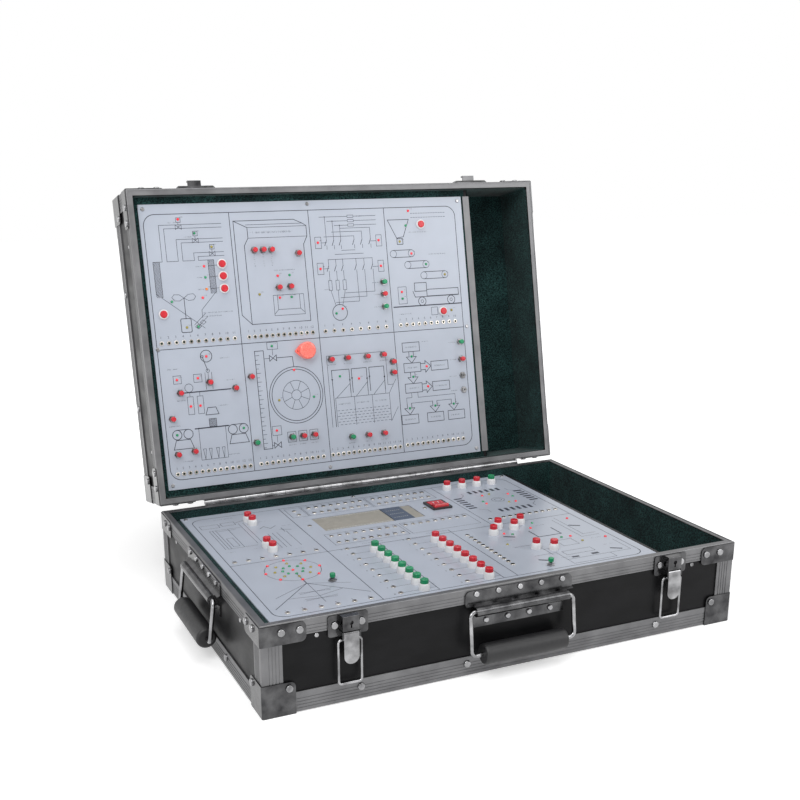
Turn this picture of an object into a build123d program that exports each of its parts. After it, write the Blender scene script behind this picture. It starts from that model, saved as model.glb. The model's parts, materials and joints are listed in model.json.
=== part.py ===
from build123d import *
import os
from math import cos, radians, sin, tan

# A trainer for programmable logic controllers in an aluminium flight case. X runs from left to right,
# Y from front to back and Z up. The origin is the middle of the base's underside, on the table.
# The case stands open: the lid is built closed and then swung back about its hinge.

# Outside of the case, over the aluminium trims
case_width = 600.0
case_depth = 408.0
base_height = 103.5
lid_height = 86.0
lid_open_angle = 101.8
rim_gap = 0.3  # between the two rims when the lid is closed

# Wall build-up, from the outside in
cap_skin = 1.2  # pressed steel corner caps
trim_skin = 1.5  # aluminium extrusions
board = 5.0  # laminated boards
lining = 1.5  # velvet

# Aluminium extrusions
rim_band = 17.0  # height of the band around each rim
rim_round = 1.2
edge_leg = 22.5  # legs of the trims along the floor edges
post_leg = 23.0  # legs of the corner posts
rib_depth = 0.4
rib_width = 1.2
rib_pitch = 3.6
rim_ribs = 3
rim_grooves = 2  # in its top
groove_inset = 2.0
groove_pitch = 2.8
edge_ribs = 4
post_ribs = 4
near = 0.01  # slack where edges are picked by their place

# Corner caps at the floor and corner plates at the rim
cap_reach = 36.0
cap_rise = 37.0
cap_round = 2.0
plate_reach = 49.0
plate_height = 22.0
plate_drop = 1.5  # from the rim's top face
plate_round = 6.0

# Rivets and screws
rivet_radius = 4.2
rivet_height = 2.2
small_rivet_radius = 2.6
small_rivet_height = 1.4
cap_rivet_inset = 29.0
cap_rivet_rise = 30.0
plate_rivet_insets = (22.0, 42.0)
plate_rivet_drop = 10.0
edge_rivet_places = {
    "front": (-190.5, -63.5, 63.5, 190.5), "back": (-190.5, -63.5, 63.5, 190.5),
    "left": (-76.5, 76.5), "right": (-76.5, 76.5),
}
edge_rivet_height = 15.0
board_rivet_insets = {"front": 61.0, "back": 61.0, "left": 70.0, "right": 70.0}
board_rivet_drop = 20.5
screw_radius = 2.6
screw_height = 1.2

# Panels. The printed layout is drawn from the outer left corner of the case, in millimetres,
# along the front edge for the base and along the free edge for the lid.
panel_depth = 12.0  # from the rim's face down to the panel
panel_thickness = 2.0
base_panel_left = 21.5  # from the outer left face
base_panel_width = 490.0
base_panel_gap = 1.0  # to the lining at the front and at the back
lid_panel_left = 15.5
lid_panel_width = 471.5
lid_panel_front = 18.0
lid_panel_back = 17.0  # from the outer back face
divider_board = 4.0
divider_gap = 0.5
ledge_bearing = 8.0  # how far the battens reach under the panels
ledge_height = 12.0
strip_width = 10.0  # aluminium strip beside the lid's panel
strip_gap = 3.0

# Circuit boards under the panels
circuit_drop = 6.0  # from the panel's underside
circuit_thickness = 1.6
circuit_side_gap = 1.0  # to the battens
circuit_cut_gap = 1.0  # around the controller and the switch

# Patch sockets
socket_flange_radius = 3.0
socket_flange = 1.0
socket_radius = 2.3
socket_bore = 1.6
hole_clearance = 0.1

# Indicator lights
light_radius = 1.75
light_height = 1.6
light_round = 1.2
rosette_count = 8  # lights in each of the three rings

# Large push buttons
button_height = 13.0
button_travel = 2.0
collar_radius = 6.4
collar_top_radius = 5.4
collar_shoulder = 5.2  # where it starts to narrow
collar_height = 8.0
collar_floor = 1.6
collar_round = 0.3
low_collar_height = 3.0  # of the lid's buttons, which are set deeper
low_collar_floor = 0.4
low_button_height = 5.2
cap_radius = 4.8
cap_edge_round = 1.0
button_clearance = 0.15
button_stop_gap = 0.2  # left under a cap that is pressed right down
neck_radius = 4.0

# Small push buttons
small_height = 9.5
small_travel = 1.2
nut_radius = 5.2
nut_height = 1.6
nut_chamfer = 0.3
bush_radius = 3.0
bush_height = 3.6
bush_floor = 0.6
small_cap_radius = 3.3
stem_radius = 1.4
stem_clearance = 0.1

# Rocker switch
bezel_width = 29.0
bezel_length = 34.0
bezel_height = 2.5
bezel_round = 1.5
switch_wall = 2.2
bezel_lip = 1.5
switch_depth = 18.0
switch_cut_gap = 0.2  # between the housing and the panel
rocker_tilt = 7.0
rocker_clearance = 0.25
rocker_rise = 3.2
rocker_drop = 5.0

# Controller module and its rail, power supply and inlet
window_width = 142.0
window_length = 53.0
module_margin = 4.0
rail_height = 7.5
rail_width = 35.0
rail_flange = 4.0
rail_skin = 1.2
rail_overhang = 12.0
supply_length = 100.0
supply_width = 97.0
supply_height = 40.0
supply_gap = 2.0  # to the divider
inlet_width = 27.0
inlet_height = 20.0
inlet_wall = 1.8
inlet_clearance = 0.3
inlet_depth = 16.0
inlet_stand = 6.0  # the inlet's flange stands this far into the compartment
pin_length = 9.0
pin_width = 4.0
pin_thickness = 2.0
pin_pitch = 7.0

# Buzzer
buzzer_radius = 12.0
buzzer_height = 11.0
buzzer_round = 3.0
buzzer_ear_place = 13.6  # from the middle to the ear's hole
buzzer_ear_radius = 2.6
buzzer_ear_height = 4.0
buzzer_hole = 1.1

# Hinge along the back
hinge_gap = 10.0  # from the corner plates to the hinge
hinge_back = 4.1  # axis behind the back face
hinge_up = 1.9  # axis above the base's rim
hinge_pin_radius = 1.5
hinge_pin_clearance = 0.05
knuckle_radius = 3.4
knuckle_count = 17
knuckle_gap = 0.5
leaf_skin = 1.2
leaf_height = 15.0
web_inner = 2.0  # from the axis to the webs
hinge_rivet_count = 9

# Draw latches on the front
latch_inset = 95.0  # from the case's ends to the latches' middles
latch_plate_width = 45.0
latch_plate_height = 24.0
latch_plate_skin = 1.5
latch_plate_drop = 1.5  # from the rim's top face
latch_plate_round = 3.0
latch_screw_spread = 30.0
latch_screw_drop = 12.5
lock_width = 19.0
lock_depth = 9.0
lock_round = 1.0
keyhole_radius = 2.4
keyhole_slot = 1.6
keyhole_depth = 2.5
lever_width = 17.0
lever_length = 33.0
lever_skin = 2.0
lever_pin_radius = 1.6
lever_knuckle_radius = 3.0
lever_stand = 8.0  # axis of the lever's pin in front of the trims
latch_pin_drop = 21.5  # below the rim's top face
latch_clearance = 0.3
pin_clearance = 0.05
bail_wire = 1.5  # radius
bail_width = 26.0  # between the wire's axes
bail_length = 50.0
bail_drop = 7.0  # bail pivot below the lever's pin
bail_stand = 5.5  # axis of the bail's pivot in front of the trims
lug_wall = 1.5  # of the lever's lugs around the bail
bail_bend = 3.5  # at the crossbar
bail_eye_bend = 3.5  # at the pivot
catch_base_width = 52.0
catch_base_height = 16.0
catch_base_skin = 4.5
catch_bevel = 2.5
catch_round = 3.0
catch_rise = 8.2  # above the lid's rim
catch_hook_width = 18.0
catch_hook_depth = 12.5
catch_hook_skin = 2.0
catch_lip = 3.6

# Carry handles
bracket_width = 136.0
bracket_height = 44.0
bracket_skin = 1.6
bracket_top_drop = 2.5  # from the rim's top face
barrel_radius = 5.5
barrel_drop = 24.5  # axis below the rim's top face
barrel_stand = 8.5
barrel_length = 118.0
handle_wire = 2.5  # radius
handle_engagement = 20.0  # of the wire's ends in the barrel
handle_width = 131.0  # between the wire's legs
handle_drop = 49.0
handle_lean = 7.6  # degrees out from hanging straight
handle_bend = 6.0
grip_length = 105.0
grip_radius = 12.0
grip_round = 3.0
bracket_rivet_pitch = 27.3
bracket_rivet_count = 5
bracket_upper_rivet_drop = 6.5
bracket_lower_rivet_drop = 39.5
bracket_rivet_radius = 3.4

# Worked out from the sizes above
half_width = case_width / 2
half_depth = case_depth / 2
hinge_length = case_width - (plate_reach + hinge_gap) * 2
wall = trim_skin + board + lining
board_face = trim_skin
board_back = trim_skin + board
trim_bottom = cap_skin
floor_bottom = trim_bottom + trim_skin
floor_top = floor_bottom + board
panel_top = base_height - panel_depth
panel_bottom = panel_top - panel_thickness
circuit_top = panel_bottom - circuit_drop
lid_rim = base_height + rim_gap
lid_panel_face = lid_rim + panel_depth
lid_panel_back_face = lid_panel_face + panel_thickness
lid_circuit_face = lid_panel_back_face + circuit_drop
lid_top = lid_rim + lid_height
circuit_reach = panel_thickness + circuit_drop
circuit_margin = ledge_bearing + circuit_side_gap
housing_width = bezel_width - 2 * bezel_lip
housing_length = bezel_length - 2 * bezel_lip
hinge_y = half_depth + hinge_back
hinge_z = base_height + hinge_up
leaf_top = hinge_z - web_inner
lever_pin_z = base_height - latch_pin_drop
bail_pivot_z = lever_pin_z - bail_drop
latched_wire_z = bail_pivot_z + bail_length
base_panel_x0 = base_panel_left - half_width
base_panel_x1 = base_panel_x0 + base_panel_width
base_panel_y0 = wall + base_panel_gap - half_depth
base_panel_y1 = half_depth - wall - base_panel_gap
lid_panel_x0 = lid_panel_left - half_width
lid_panel_x1 = lid_panel_x0 + lid_panel_width
lid_panel_y0 = lid_panel_front - half_depth
lid_panel_y1 = half_depth - lid_panel_back
base_divider_x = base_panel_x1 + divider_gap
lid_divider_x = lid_panel_x1 + strip_gap

# The layouts were drawn on panels of these sizes, with these left and front edges
base_drawing = (21.5, 9.0, 490.0, 390.0)
lid_drawing = (15.5, 18.0, 471.5, 373.0)


def on_base(x, y):
    """Turns a place on the base panel's drawing into a place on the panel."""
    left, front, width, depth = base_drawing
    across = (base_panel_x1 - base_panel_x0) / width
    along = (base_panel_y1 - base_panel_y0) / depth
    return base_panel_x0 + (x - left) * across, base_panel_y0 + (y - front) * along


def on_lid(x, y):
    """Turns a place on the lid panel's drawing into a place on the closed lid's panel."""
    left, front, width, depth = lid_drawing
    across = (lid_panel_x1 - lid_panel_x0) / width
    along = (lid_panel_y1 - lid_panel_y0) / depth
    return lid_panel_x0 + (x - left) * across, lid_panel_y0 + (y - front) * along


def row(first, step, count):
    """Places in a straight row: the first one, the step to the next, and how many."""
    return [(first[0] + step[0] * i, first[1] + step[1] * i) for i in range(count)]


# Base layout
base_socket_rows = (
    row((46.5, 48.0), (19.2, 0), 6)
    + row((39.5, 214.0), (17.2, 0), 7)
    + row((191.5, 371.0), (10.8, 0), 8)
    + row((286.5, 371.0), (10.8, 0), 8)
    + row((191.5, 349.0), (10.8, 0), 8)
    + row((286.5, 349.0), (10.8, 0), 8)
    + row((178.0, 253.0), (11.0, 0), 9)
    + row((281.0, 253.0), (10.8, 0), 9)
    + row((178.0, 228.0), (11.0, 0), 9)
    + row((178.0, 202.0), (0, -19.3), 9)
    + row((261.0, 202.0), (0, -19.3), 9)
    + row((334.5, 184.0), (0, -10.2), 12)
    + row((392.0, 227.0), (10.0, 0), 11)
    + [(169.0, 366.0), (170.0, 350.0), (167.0, 302.0), (335.0, 306.0)]
)
green_buttons = row((206.0, 181.0), (0, -19.3), 8)
red_buttons = row((288.0, 181.0), (0, -19.3), 8)
other_base_buttons = (
    [(100.5, 354.0), (101.5, 338.0), (92.0, 251.0), (93.5, 233.0)]
    + row((401.0, 368.5), (24.0, 0), 4)
    + [(384.0, 193.5), (366.0, 173.0), (418.0, 195.5), (400.5, 181.0), (388.0, 107.0), (406.5, 96.0)]
)
base_small_buttons = [(123.5, 113.0), (373.5, 51.0)]
rosette_centre = (94.0, 163.0)
rosette_radii = (33.0, 22.0, 12.5)
base_lights = [
    (432.0, 321.0), (444.0, 323.0), (469.0, 313.5), (470.0, 302.0),
    (462.0, 280.0), (452.0, 281.0), (420.0, 287.0), (420.0, 297.0),
    (485.0, 187.5), (379.0, 169.0), (421.0, 174.0), (450.5, 127.0), (489.5, 107.5),
    (433.0, 190.0), (388.0, 163.0), (438.0, 128.0), (363.0, 133.0), (455.0, 107.0),
]
base_screws = [(27.5, 15.0), (266.5, 15.0), (505.5, 15.0), (27.5, 393.0), (266.5, 393.0), (505.5, 393.0)]
window_centre = (250.0, 301.5)
switch_centre = (355.5, 308.0)
inlet_place = (511.5, 300.0)

# Lid layout
lid_socket_rows = (
    row((27.3, 197.4), (9.97, 0), 11)
    + row((147.3, 197.2), (8.35, 0), 12)
    + row((258.3, 197.0), (13.3, 0), 8)
    + row((374.0, 196.3), (9.77, 0), 10)
    + row((29.9, 370.8), (8.42, 0), 13)
    + row((146.3, 370.3), (8.34, 0), 12)
    + row((252.4, 369.7), (8.03, 0), 14)
    + row((368.6, 368.5), (8.3, 0), 12)
)
lid_large_buttons = [
    (119.2, 98.0), (119.2, 114.0), (119.2, 130.5), (33.8, 159.7), (418.0, 55.5), (443.0, 180.5),
]
lid_small_buttons = [
    (166.0, 82.0), (178.4, 82.0), (190.3, 82.4), (228.4, 88.6), (195.9, 133.3), (212.7, 132.9),
    (352.1, 134.0), (351.4, 150.7), (351.4, 168.3),
    (44.9, 263.9), (86.0, 252.9), (120.6, 263.6), (30.6, 297.1), (33.1, 344.6), (56.0, 342.6),
    (144.1, 250.4), (142.7, 340.0), (194.4, 337.9), (210.6, 337.9), (227.0, 337.9),
    (261.9, 236.4), (286.4, 236.0), (316.7, 236.4), (341.7, 235.7), (356.1, 246.9), (355.4, 262.1),
    (283.1, 347.1), (308.3, 346.9), (332.9, 346.9), (466.4, 226.7), (466.4, 251.7),
]
lid_lights = [
    (66.5, 38.0), (86.5, 56.5), (108.0, 75.0), (95.0, 100.0), (95.5, 114.5), (95.5, 130.0),
    (89.0, 141.0), (47.0, 144.0), (63.5, 178.5), (79.0, 178.5),
    (196.3, 117.5), (213.4, 117.3), (168.0, 141.0), (196.5, 147.0), (213.5, 147.0),
    (259.2, 75.5), (350.8, 75.4), (259.5, 111.3), (351.2, 111.2), (277.2, 173.5), (287.0, 167.5),
    (400.7, 36.0), (395.0, 56.5), (383.5, 78.5), (400.5, 96.0), (422.3, 112.0), (451.2, 128.0),
    (380.3, 149.5), (380.6, 159.0), (457.5, 179.8),
    (85.3, 218.4), (42.3, 246.2), (70.8, 246.2), (57.3, 282.7), (70.3, 282.8), (34.8, 318.8),
    (126.8, 318.5),
    (178.0, 211.5), (206.7, 246.3), (181.0, 286.0), (232.0, 285.8), (173.3, 327.0),
    (273.5, 261.0), (302.0, 266.5),
    (387.0, 242.0), (387.0, 271.3), (409.8, 258.0), (409.4, 287.0), (377.5, 316.0), (418.5, 316.0),
    (448.7, 316.0),
]
lid_screws = [
    (21.5, 24.0), (248.5, 22.5), (480.5, 24.0), (21.5, 205.0), (480.5, 205.0),
    (21.5, 385.0), (246.5, 386.0), (480.5, 385.0),
]
jack_pair = [(467.0, 275.7), (467.0, 297.0)]
buzzer_centre = (226.5, 221.3)


def block(x0, x1, y0, y1, z0, z1):
    """A box between two corners."""
    return Pos((x0 + x1) / 2, (y0 + y1) / 2, (z0 + z1) / 2) * Box(x1 - x0, y1 - y0, z1 - z0)


def ring(inset, thickness, z0, z1):
    """A rectangular frame, its outer face set in from the case's outer faces."""
    x = half_width - inset
    y = half_depth - inset
    outside = block(-x, x, -y, y, z0, z1)
    inside = block(-x + thickness, x - thickness, -y + thickness, y - thickness, z0, z1)
    return outside - inside


def rod(radius, length, x, y, z):
    """A round rod along X with its middle at a point."""
    return Pos(x, y, z) * Rot(0, 90, 0) * Cylinder(radius, length)


def upright(radius, x, y, z0, z1):
    """A round bar along Z between two heights."""
    return Pos(x, y, (z0 + z1) / 2) * Cylinder(radius, z1 - z0)


def group(pieces):
    """Several separate solids as one node."""
    solids = []
    for piece in pieces:
        solids += piece.solids()
    return Compound(children=solids)


def mitred(frame, reach):
    """Cuts a rectangular frame into four bars along the diagonals of its corners."""
    x = half_width
    y = half_depth
    bars = []
    for side in (-1, 1):
        lengthwise = Polyline(
            (-x - reach, side * (y + reach)), (x + reach, side * (y + reach)),
            (x - reach, side * (y - reach)), (-x + reach, side * (y - reach)), close=True,
        )
        crosswise = Polyline(
            (side * (x + reach), -y - reach), (side * (x + reach), y + reach),
            (side * (x - reach), y - reach), (side * (x - reach), -y + reach), close=True,
        )
        for outline in (lengthwise, crosswise):
            bars.append(frame & extrude(make_face(outline), amount=case_width, both=True))
    return bars


def at_corners(piece):
    """A piece made for the right back corner, with its mirror images at the other three."""
    left = mirror(piece, about=Plane.YZ)
    return [piece, left, mirror(piece, about=Plane.XZ), mirror(left, about=Plane.XZ)]


# One half of the case, standing on its floor with the open rim up. The lid is the same, turned over.
def side_boards(height):
    """Four laminated boards, the front and back ones over the full width."""
    top = height - trim_skin
    x = half_width - board_face
    y = half_depth - board_face
    boards = []
    for side in (-1, 1):
        ends = sorted((side * y, side * (y - board)))
        boards.append(block(-x, x, ends[0], ends[1], floor_bottom, top))
        ends = sorted((side * x, side * (x - board)))
        boards.append(block(ends[0], ends[1], board - y, y - board, floor_bottom, top))
    return boards


def floor_board():
    """The board between the four side boards."""
    x = half_width - board_back
    y = half_depth - board_back
    return block(-x, x, -y, y, floor_bottom, floor_top)


def at_outside(edge):
    """Whether an edge lies in one of the outer faces."""
    middle = edge.center()
    return abs(middle.X) > half_width - near or abs(middle.Y) > half_depth - near


def rim(height):
    """The ribbed band around the rim with its flat top, in four mitred bars."""
    frame = ring(0, trim_skin, height - rim_band, height) + ring(0, wall, height - trim_skin, height)
    top_edges = frame.edges().filter_by_position(Axis.Z, height - near, height + near)
    outer_edges = top_edges.filter_by(at_outside)
    frame = fillet(outer_edges, rim_round)
    for i in range(rim_grooves):
        inset = groove_inset + groove_pitch * i
        frame -= ring(inset, inset + rib_width, height - rib_depth, height + 1)
    for i in range(rim_ribs):
        z = height - rim_band + rib_pitch * (i + 0.5)
        frame -= ring(-1, 1 + rib_depth, z, z + rib_width)
    return mitred(frame, wall + 1)


def edge_trims():
    """Angle trims along the floor's edges, in four mitred bars."""
    frame = ring(0, trim_skin, trim_bottom, trim_bottom + edge_leg)
    frame += ring(0, edge_leg, trim_bottom, trim_bottom + trim_skin)
    for i in range(edge_ribs):
        z = trim_bottom + rib_pitch * (i + 1)
        frame -= ring(-1, 1 + rib_depth, z, z + rib_width)
    return mitred(frame, edge_leg + 1)


def corner_posts(height):
    """Upright angle trims between the edge trims and the rim band."""
    z0 = trim_bottom + edge_leg
    z1 = height - rim_band
    x0 = half_width - post_leg
    y0 = half_depth - post_leg
    post = block(x0, half_width, y0, half_depth, z0, z1)
    post -= block(x0, half_width - trim_skin, y0, half_depth - trim_skin, z0, z1)
    for i in range(post_ribs):
        inset = post_leg - rib_pitch * (i + 1)
        x = half_width - inset
        y = half_depth - inset
        post -= block(x, x + rib_width, half_depth - rib_depth, half_depth + 1, z0, z1)
        post -= block(half_width - rib_depth, half_width + 1, y, y + rib_width, z0, z1)
    return at_corners(post)


def corner_caps():
    """Pressed caps over the four floor corners, which the case stands on."""
    x0 = half_width - cap_reach
    y0 = half_depth - cap_reach
    outside = block(x0, half_width + cap_skin, y0, half_depth + cap_skin, 0, cap_rise)
    cap = outside - block(x0, half_width, y0, half_depth, cap_skin, cap_rise)
    return at_corners(rounded_wrap(cap, x0, y0, (cap_rise,)))


def corner_plates(height):
    """Pressed plates around the four corners of the rim."""
    x0 = half_width - plate_reach
    y0 = half_depth - plate_reach
    z1 = height - plate_drop
    z0 = z1 - plate_height
    plate = block(x0, half_width + cap_skin, y0, half_depth + cap_skin, z0, z1)
    plate -= block(x0, half_width, y0, half_depth, z0, z1)
    return at_corners(rounded_wrap(plate, x0, y0, (z0, z1)))


def rounded_wrap(wrap, x0, y0, levels):
    """Rounds the free corners of a piece that wraps a corner of the case, and its upright edge."""
    upright_edges = wrap.edges().filter_by(Axis.Z)
    outer_edge = upright_edges.sort_by(lambda e: e.center().X + e.center().Y)[-1]
    wrap = fillet(outer_edge, cap_round)
    free = []
    for level in levels:
        at_level = wrap.edges().filter_by_position(Axis.Z, level - near, level + near)
        free += at_level.filter_by(Axis.Y).filter_by_position(Axis.X, x0 - near, x0 + near)
        free += at_level.filter_by(Axis.X).filter_by_position(Axis.Y, y0 - near, y0 + near)
    return fillet(free, plate_round)


def head(radius, height):
    """A round head of a rivet or screw, standing on its flat side."""
    blank = Pos(0, 0, height / 2) * Cylinder(radius, height)
    return fillet(blank.edges().sort_by(Axis.Z)[-1], height * 0.6)


def on_face(piece, side, along, out, z):
    """Puts a piece on an outer face: side is front, back, left or right, out is from the trims outwards."""
    turns = {"front": Rot(90, 0, 0), "back": Rot(-90, 0, 0), "left": Rot(0, -90, 0), "right": Rot(0, 90, 0)}
    spots = {
        "front": Pos(along, -half_depth - out, z), "back": Pos(along, half_depth + out, z),
        "left": Pos(-half_width - out, along, z), "right": Pos(half_width + out, along, z),
    }
    return spots[side] * turns[side] * piece


def shell_rivets(height):
    """The rivets of the corner caps, corner plates, edge trims and boards."""
    rivet = head(rivet_radius, rivet_height)
    small = head(small_rivet_radius, small_rivet_height)
    rivets = []
    halves = {"front": half_width, "back": half_width, "left": half_depth, "right": half_depth}
    for side, half in halves.items():
        for end in (-1, 1):
            for inset in plate_rivet_insets:
                along = end * (half - inset)
                rivets.append(on_face(rivet, side, along, cap_skin, height - plate_rivet_drop))
            along = end * (half - cap_rivet_inset)
            rivets.append(on_face(rivet, side, along, cap_skin, cap_rivet_rise))
            along = end * (half - board_rivet_insets[side])
            rivets.append(on_face(small, side, along, -board_face, height - board_rivet_drop))
        for along in edge_rivet_places[side]:
            rivets.append(on_face(rivet, side, along, 0, edge_rivet_height))
    return rivets


def ledges(x0, x1, y0, y1, panel_edges, z0, z1):
    """The battens that a panel lies on: they fill its bay's edge and reach under the panel."""
    left, right, front, back = panel_edges
    outside = block(x0, x1, y0, y1, z0, z1)
    bearing = ledge_bearing
    return outside - block(left + bearing, right - bearing, front + bearing, back - bearing, z0, z1)


def base_lining():
    """Velvet on the walls, the compartment's floor and divider, and the panel's ledges."""
    x = half_width - wall
    y = half_depth - wall
    divider_face = base_divider_x + divider_board
    walls = ring(board_back, lining, floor_top, base_height - trim_skin)
    edges = (base_panel_x0, base_panel_x1, base_panel_y0, base_panel_y1)
    ledge = ledges(-x, base_divider_x, -y, y, edges, panel_bottom - ledge_height, panel_bottom)
    floor = block(divider_face, x, -y, y, floor_top, floor_top + lining)
    side = block(divider_face, divider_face + lining, -y, y, floor_top + lining, panel_top)
    return [walls, ledge, floor, side - inlet_hole()]


def base_divider():
    """The board between the panel's bay and the compartment, with the inlet's cut-out."""
    y = half_depth - wall
    board_box = block(base_divider_x, base_divider_x + divider_board, -y, y, floor_top, panel_top)
    return board_box - inlet_hole()


def inlet_hole():
    """The cut-out in the divider and its velvet for the power inlet."""
    x0 = base_divider_x
    y = on_base(*inlet_place)[1]
    z = floor_top + supply_height / 2
    across = inlet_width / 2 + inlet_clearance
    rise = inlet_height / 2 + inlet_clearance
    return block(x0, x0 + divider_board + lining, y - across, y + across, z - rise, z + rise)


def power_supply():
    """The supply on the floor board, with its three-pin inlet reaching into the compartment."""
    x1 = base_divider_x - supply_gap
    x0 = x1 - supply_length
    y = on_base(*inlet_place)[1]
    z = floor_top + supply_height / 2
    mouth = base_divider_x + divider_board + lining + inlet_stand
    bottom = mouth - inlet_depth
    across = inlet_width / 2
    rise = inlet_height / 2
    supply = block(x0, x1, y - supply_width / 2, y + supply_width / 2, floor_top, floor_top + supply_height)
    supply += block(x1, mouth, y - across, y + across, z - rise, z + rise)
    across -= inlet_wall
    rise -= inlet_wall
    supply -= block(bottom, mouth, y - across, y + across, z - rise, z + rise)
    for i in (-1, 0, 1):
        pin_y = y + pin_pitch * i
        pin_z = z + (pin_width / 2 if i == 0 else -pin_width / 2)
        supply += block(
            bottom, bottom + pin_length, pin_y - pin_thickness / 2, pin_y + pin_thickness / 2,
            pin_z - pin_width / 2, pin_z + pin_width / 2,
        )
    return supply


def controller_module():
    """The controller behind the panel's window, clipped on its hat-shaped rail."""
    x, y = on_base(*window_centre)
    half_x = window_width / 2 + module_margin
    half_y = window_length / 2 + module_margin
    rail_top = floor_top + rail_height
    body = block(x - half_x, x + half_x, y - half_y, y + half_y, rail_top, panel_bottom)
    rail_x0 = x - half_x - rail_overhang
    rail_x1 = x + half_x + rail_overhang
    half = rail_width / 2
    inner = half - rail_flange
    skin = rail_skin
    rail = block(rail_x0, rail_x1, y - inner, y + inner, floor_top, floor_top + skin)
    for side in (-1, 1):
        ends = sorted((y + side * inner, y + side * (inner - skin)))
        rail += block(rail_x0, rail_x1, ends[0], ends[1], floor_top, rail_top)
        ends = sorted((y + side * (inner - skin), y + side * half))
        rail += block(rail_x0, rail_x1, ends[0], ends[1], rail_top - skin, rail_top)
    return [body, rail]


def sketch_circles(places, radius):
    """Circles of one radius at several places, as one flat shape."""
    return [Pos(x, y) * Circle(radius) for x, y in places]


def drilled_plate(edges, z0, z1, holes, cutouts):
    """A flat plate with round holes and rectangular cut-outs, each given as (places, radius) or a shape."""
    x0, x1, y0, y1 = edges
    face = Pos((x0 + x1) / 2, (y0 + y1) / 2) * Rectangle(x1 - x0, y1 - y0)
    cutters = list(cutouts)
    for places, radius in holes:
        cutters += sketch_circles(places, radius)
    face = face - cutters
    return Pos(0, 0, z0) * extrude(face, amount=z1 - z0)


def rosette():
    """Lights of the three rings and the one in their middle."""
    places = [rosette_centre]
    for radius in rosette_radii:
        for i in range(rosette_count):
            angle = radians(360 / rosette_count * i)
            places.append((rosette_centre[0] + radius * cos(angle), rosette_centre[1] + radius * sin(angle)))
    return places


def base_panel():
    """The base's panel with its holes, the controller's window and the switch's cut-out."""
    edges = (base_panel_x0, base_panel_x1, base_panel_y0, base_panel_y1)
    window = Pos(*on_base(*window_centre)) * Rectangle(window_width, window_length)
    gap = switch_cut_gap * 2
    switch = Pos(*on_base(*switch_centre)) * Rectangle(housing_width + gap, housing_length + gap)
    holes = (
        (base_places(base_socket_rows), socket_radius + hole_clearance),
        (base_places(base_lights + rosette()), light_radius + hole_clearance),
        (base_places(green_buttons + red_buttons + other_base_buttons), neck_radius + hole_clearance),
        (base_places(base_small_buttons), bush_radius + hole_clearance),
    )
    return drilled_plate(edges, panel_bottom, panel_top, holes, (window, switch))


def base_circuit_board():
    """The board under the base's panel, cut out around the controller and the switch."""
    margin = circuit_margin
    edges = (
        base_panel_x0 + margin, base_panel_x1 - margin, base_panel_y0 + margin, base_panel_y1 - margin,
    )
    around = (module_margin + circuit_cut_gap) * 2
    module = Rectangle(window_width + around, window_length + around)
    switch = Rectangle(housing_width + circuit_cut_gap * 2, housing_length + circuit_cut_gap * 2)
    cutouts = (Pos(*on_base(*window_centre)) * module, Pos(*on_base(*switch_centre)) * switch)
    return drilled_plate(edges, circuit_top - circuit_thickness, circuit_top, (), cutouts)


def lid_panel():
    """The lid's panel with its holes."""
    edges = (lid_panel_x0, lid_panel_x1, lid_panel_y0, lid_panel_y1)
    holes = (
        (lid_places(lid_socket_rows), socket_radius + hole_clearance),
        (lid_places(lid_lights), light_radius + hole_clearance),
        (lid_places(lid_large_buttons), neck_radius + hole_clearance),
        (lid_places(lid_small_buttons + jack_pair), bush_radius + hole_clearance),
    )
    return drilled_plate(edges, lid_panel_face, lid_panel_back_face, holes, ())


def lid_circuit_board():
    """The board behind the lid's panel."""
    margin = circuit_margin
    edges = (lid_panel_x0 + margin, lid_panel_x1 - margin, lid_panel_y0 + margin, lid_panel_y1 - margin)
    return drilled_plate(edges, lid_circuit_face, lid_circuit_face + circuit_thickness, (), ())


def base_places(places):
    """Places of a list on the base's drawing, on the panel."""
    return [on_base(x, y) for x, y in places]


def lid_places(places):
    """Places of a list on the lid's drawing, on the panel."""
    return [on_lid(x, y) for x, y in places]


def on_base_panel(piece, places):
    """Copies of a piece standing on the base's panel."""
    return [Pos(x, y, panel_top) * piece for x, y in base_places(places)]


def on_lid_panel(piece, places):
    """Copies of a piece standing on the face of the closed lid's panel, which looks down."""
    return [Pos(x, y, lid_panel_face) * Rot(180, 0, 0) * piece for x, y in lid_places(places)]


# Small parts of the panels, each standing on a panel whose face is at height 0
def socket():
    """A patch socket: a flange on the panel and a bored barrel through it."""
    body = upright(socket_flange_radius, 0, 0, 0, socket_flange)
    body = fillet(body.edges().sort_by(Axis.Z)[-1], socket_flange / 2)
    body += upright(socket_radius, 0, 0, -circuit_reach, 0)
    return body - upright(socket_bore, 0, 0, -circuit_reach, socket_flange)


def light():
    """An indicator light with a rounded top."""
    body = upright(light_radius, 0, 0, -circuit_reach, light_height)
    return fillet(body.edges().sort_by(Axis.Z)[-1], light_round)


def large_collar():
    """The white body of a large push button, narrower at its top."""
    rise = collar_height - collar_shoulder
    neck = Pos(0, 0, collar_height - rise / 2) * Cone(collar_radius, collar_top_radius, rise)
    body = neck + upright(collar_radius, 0, 0, 0, collar_shoulder)
    body = fillet(body.edges().sort_by(Axis.Z)[-1], collar_round)
    body += upright(neck_radius, 0, 0, -circuit_reach, 0)
    return body - upright(cap_radius + button_clearance, 0, 0, collar_floor, collar_height)


def low_collar():
    """The white ring around a large push button of the lid."""
    body = upright(collar_radius, 0, 0, 0, low_collar_height)
    body = fillet(body.edges().sort_by(Axis.Z)[-1], collar_round)
    body += upright(neck_radius, 0, 0, -circuit_reach, 0)
    return body - upright(cap_radius + button_clearance, 0, 0, low_collar_floor, low_collar_height)


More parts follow.
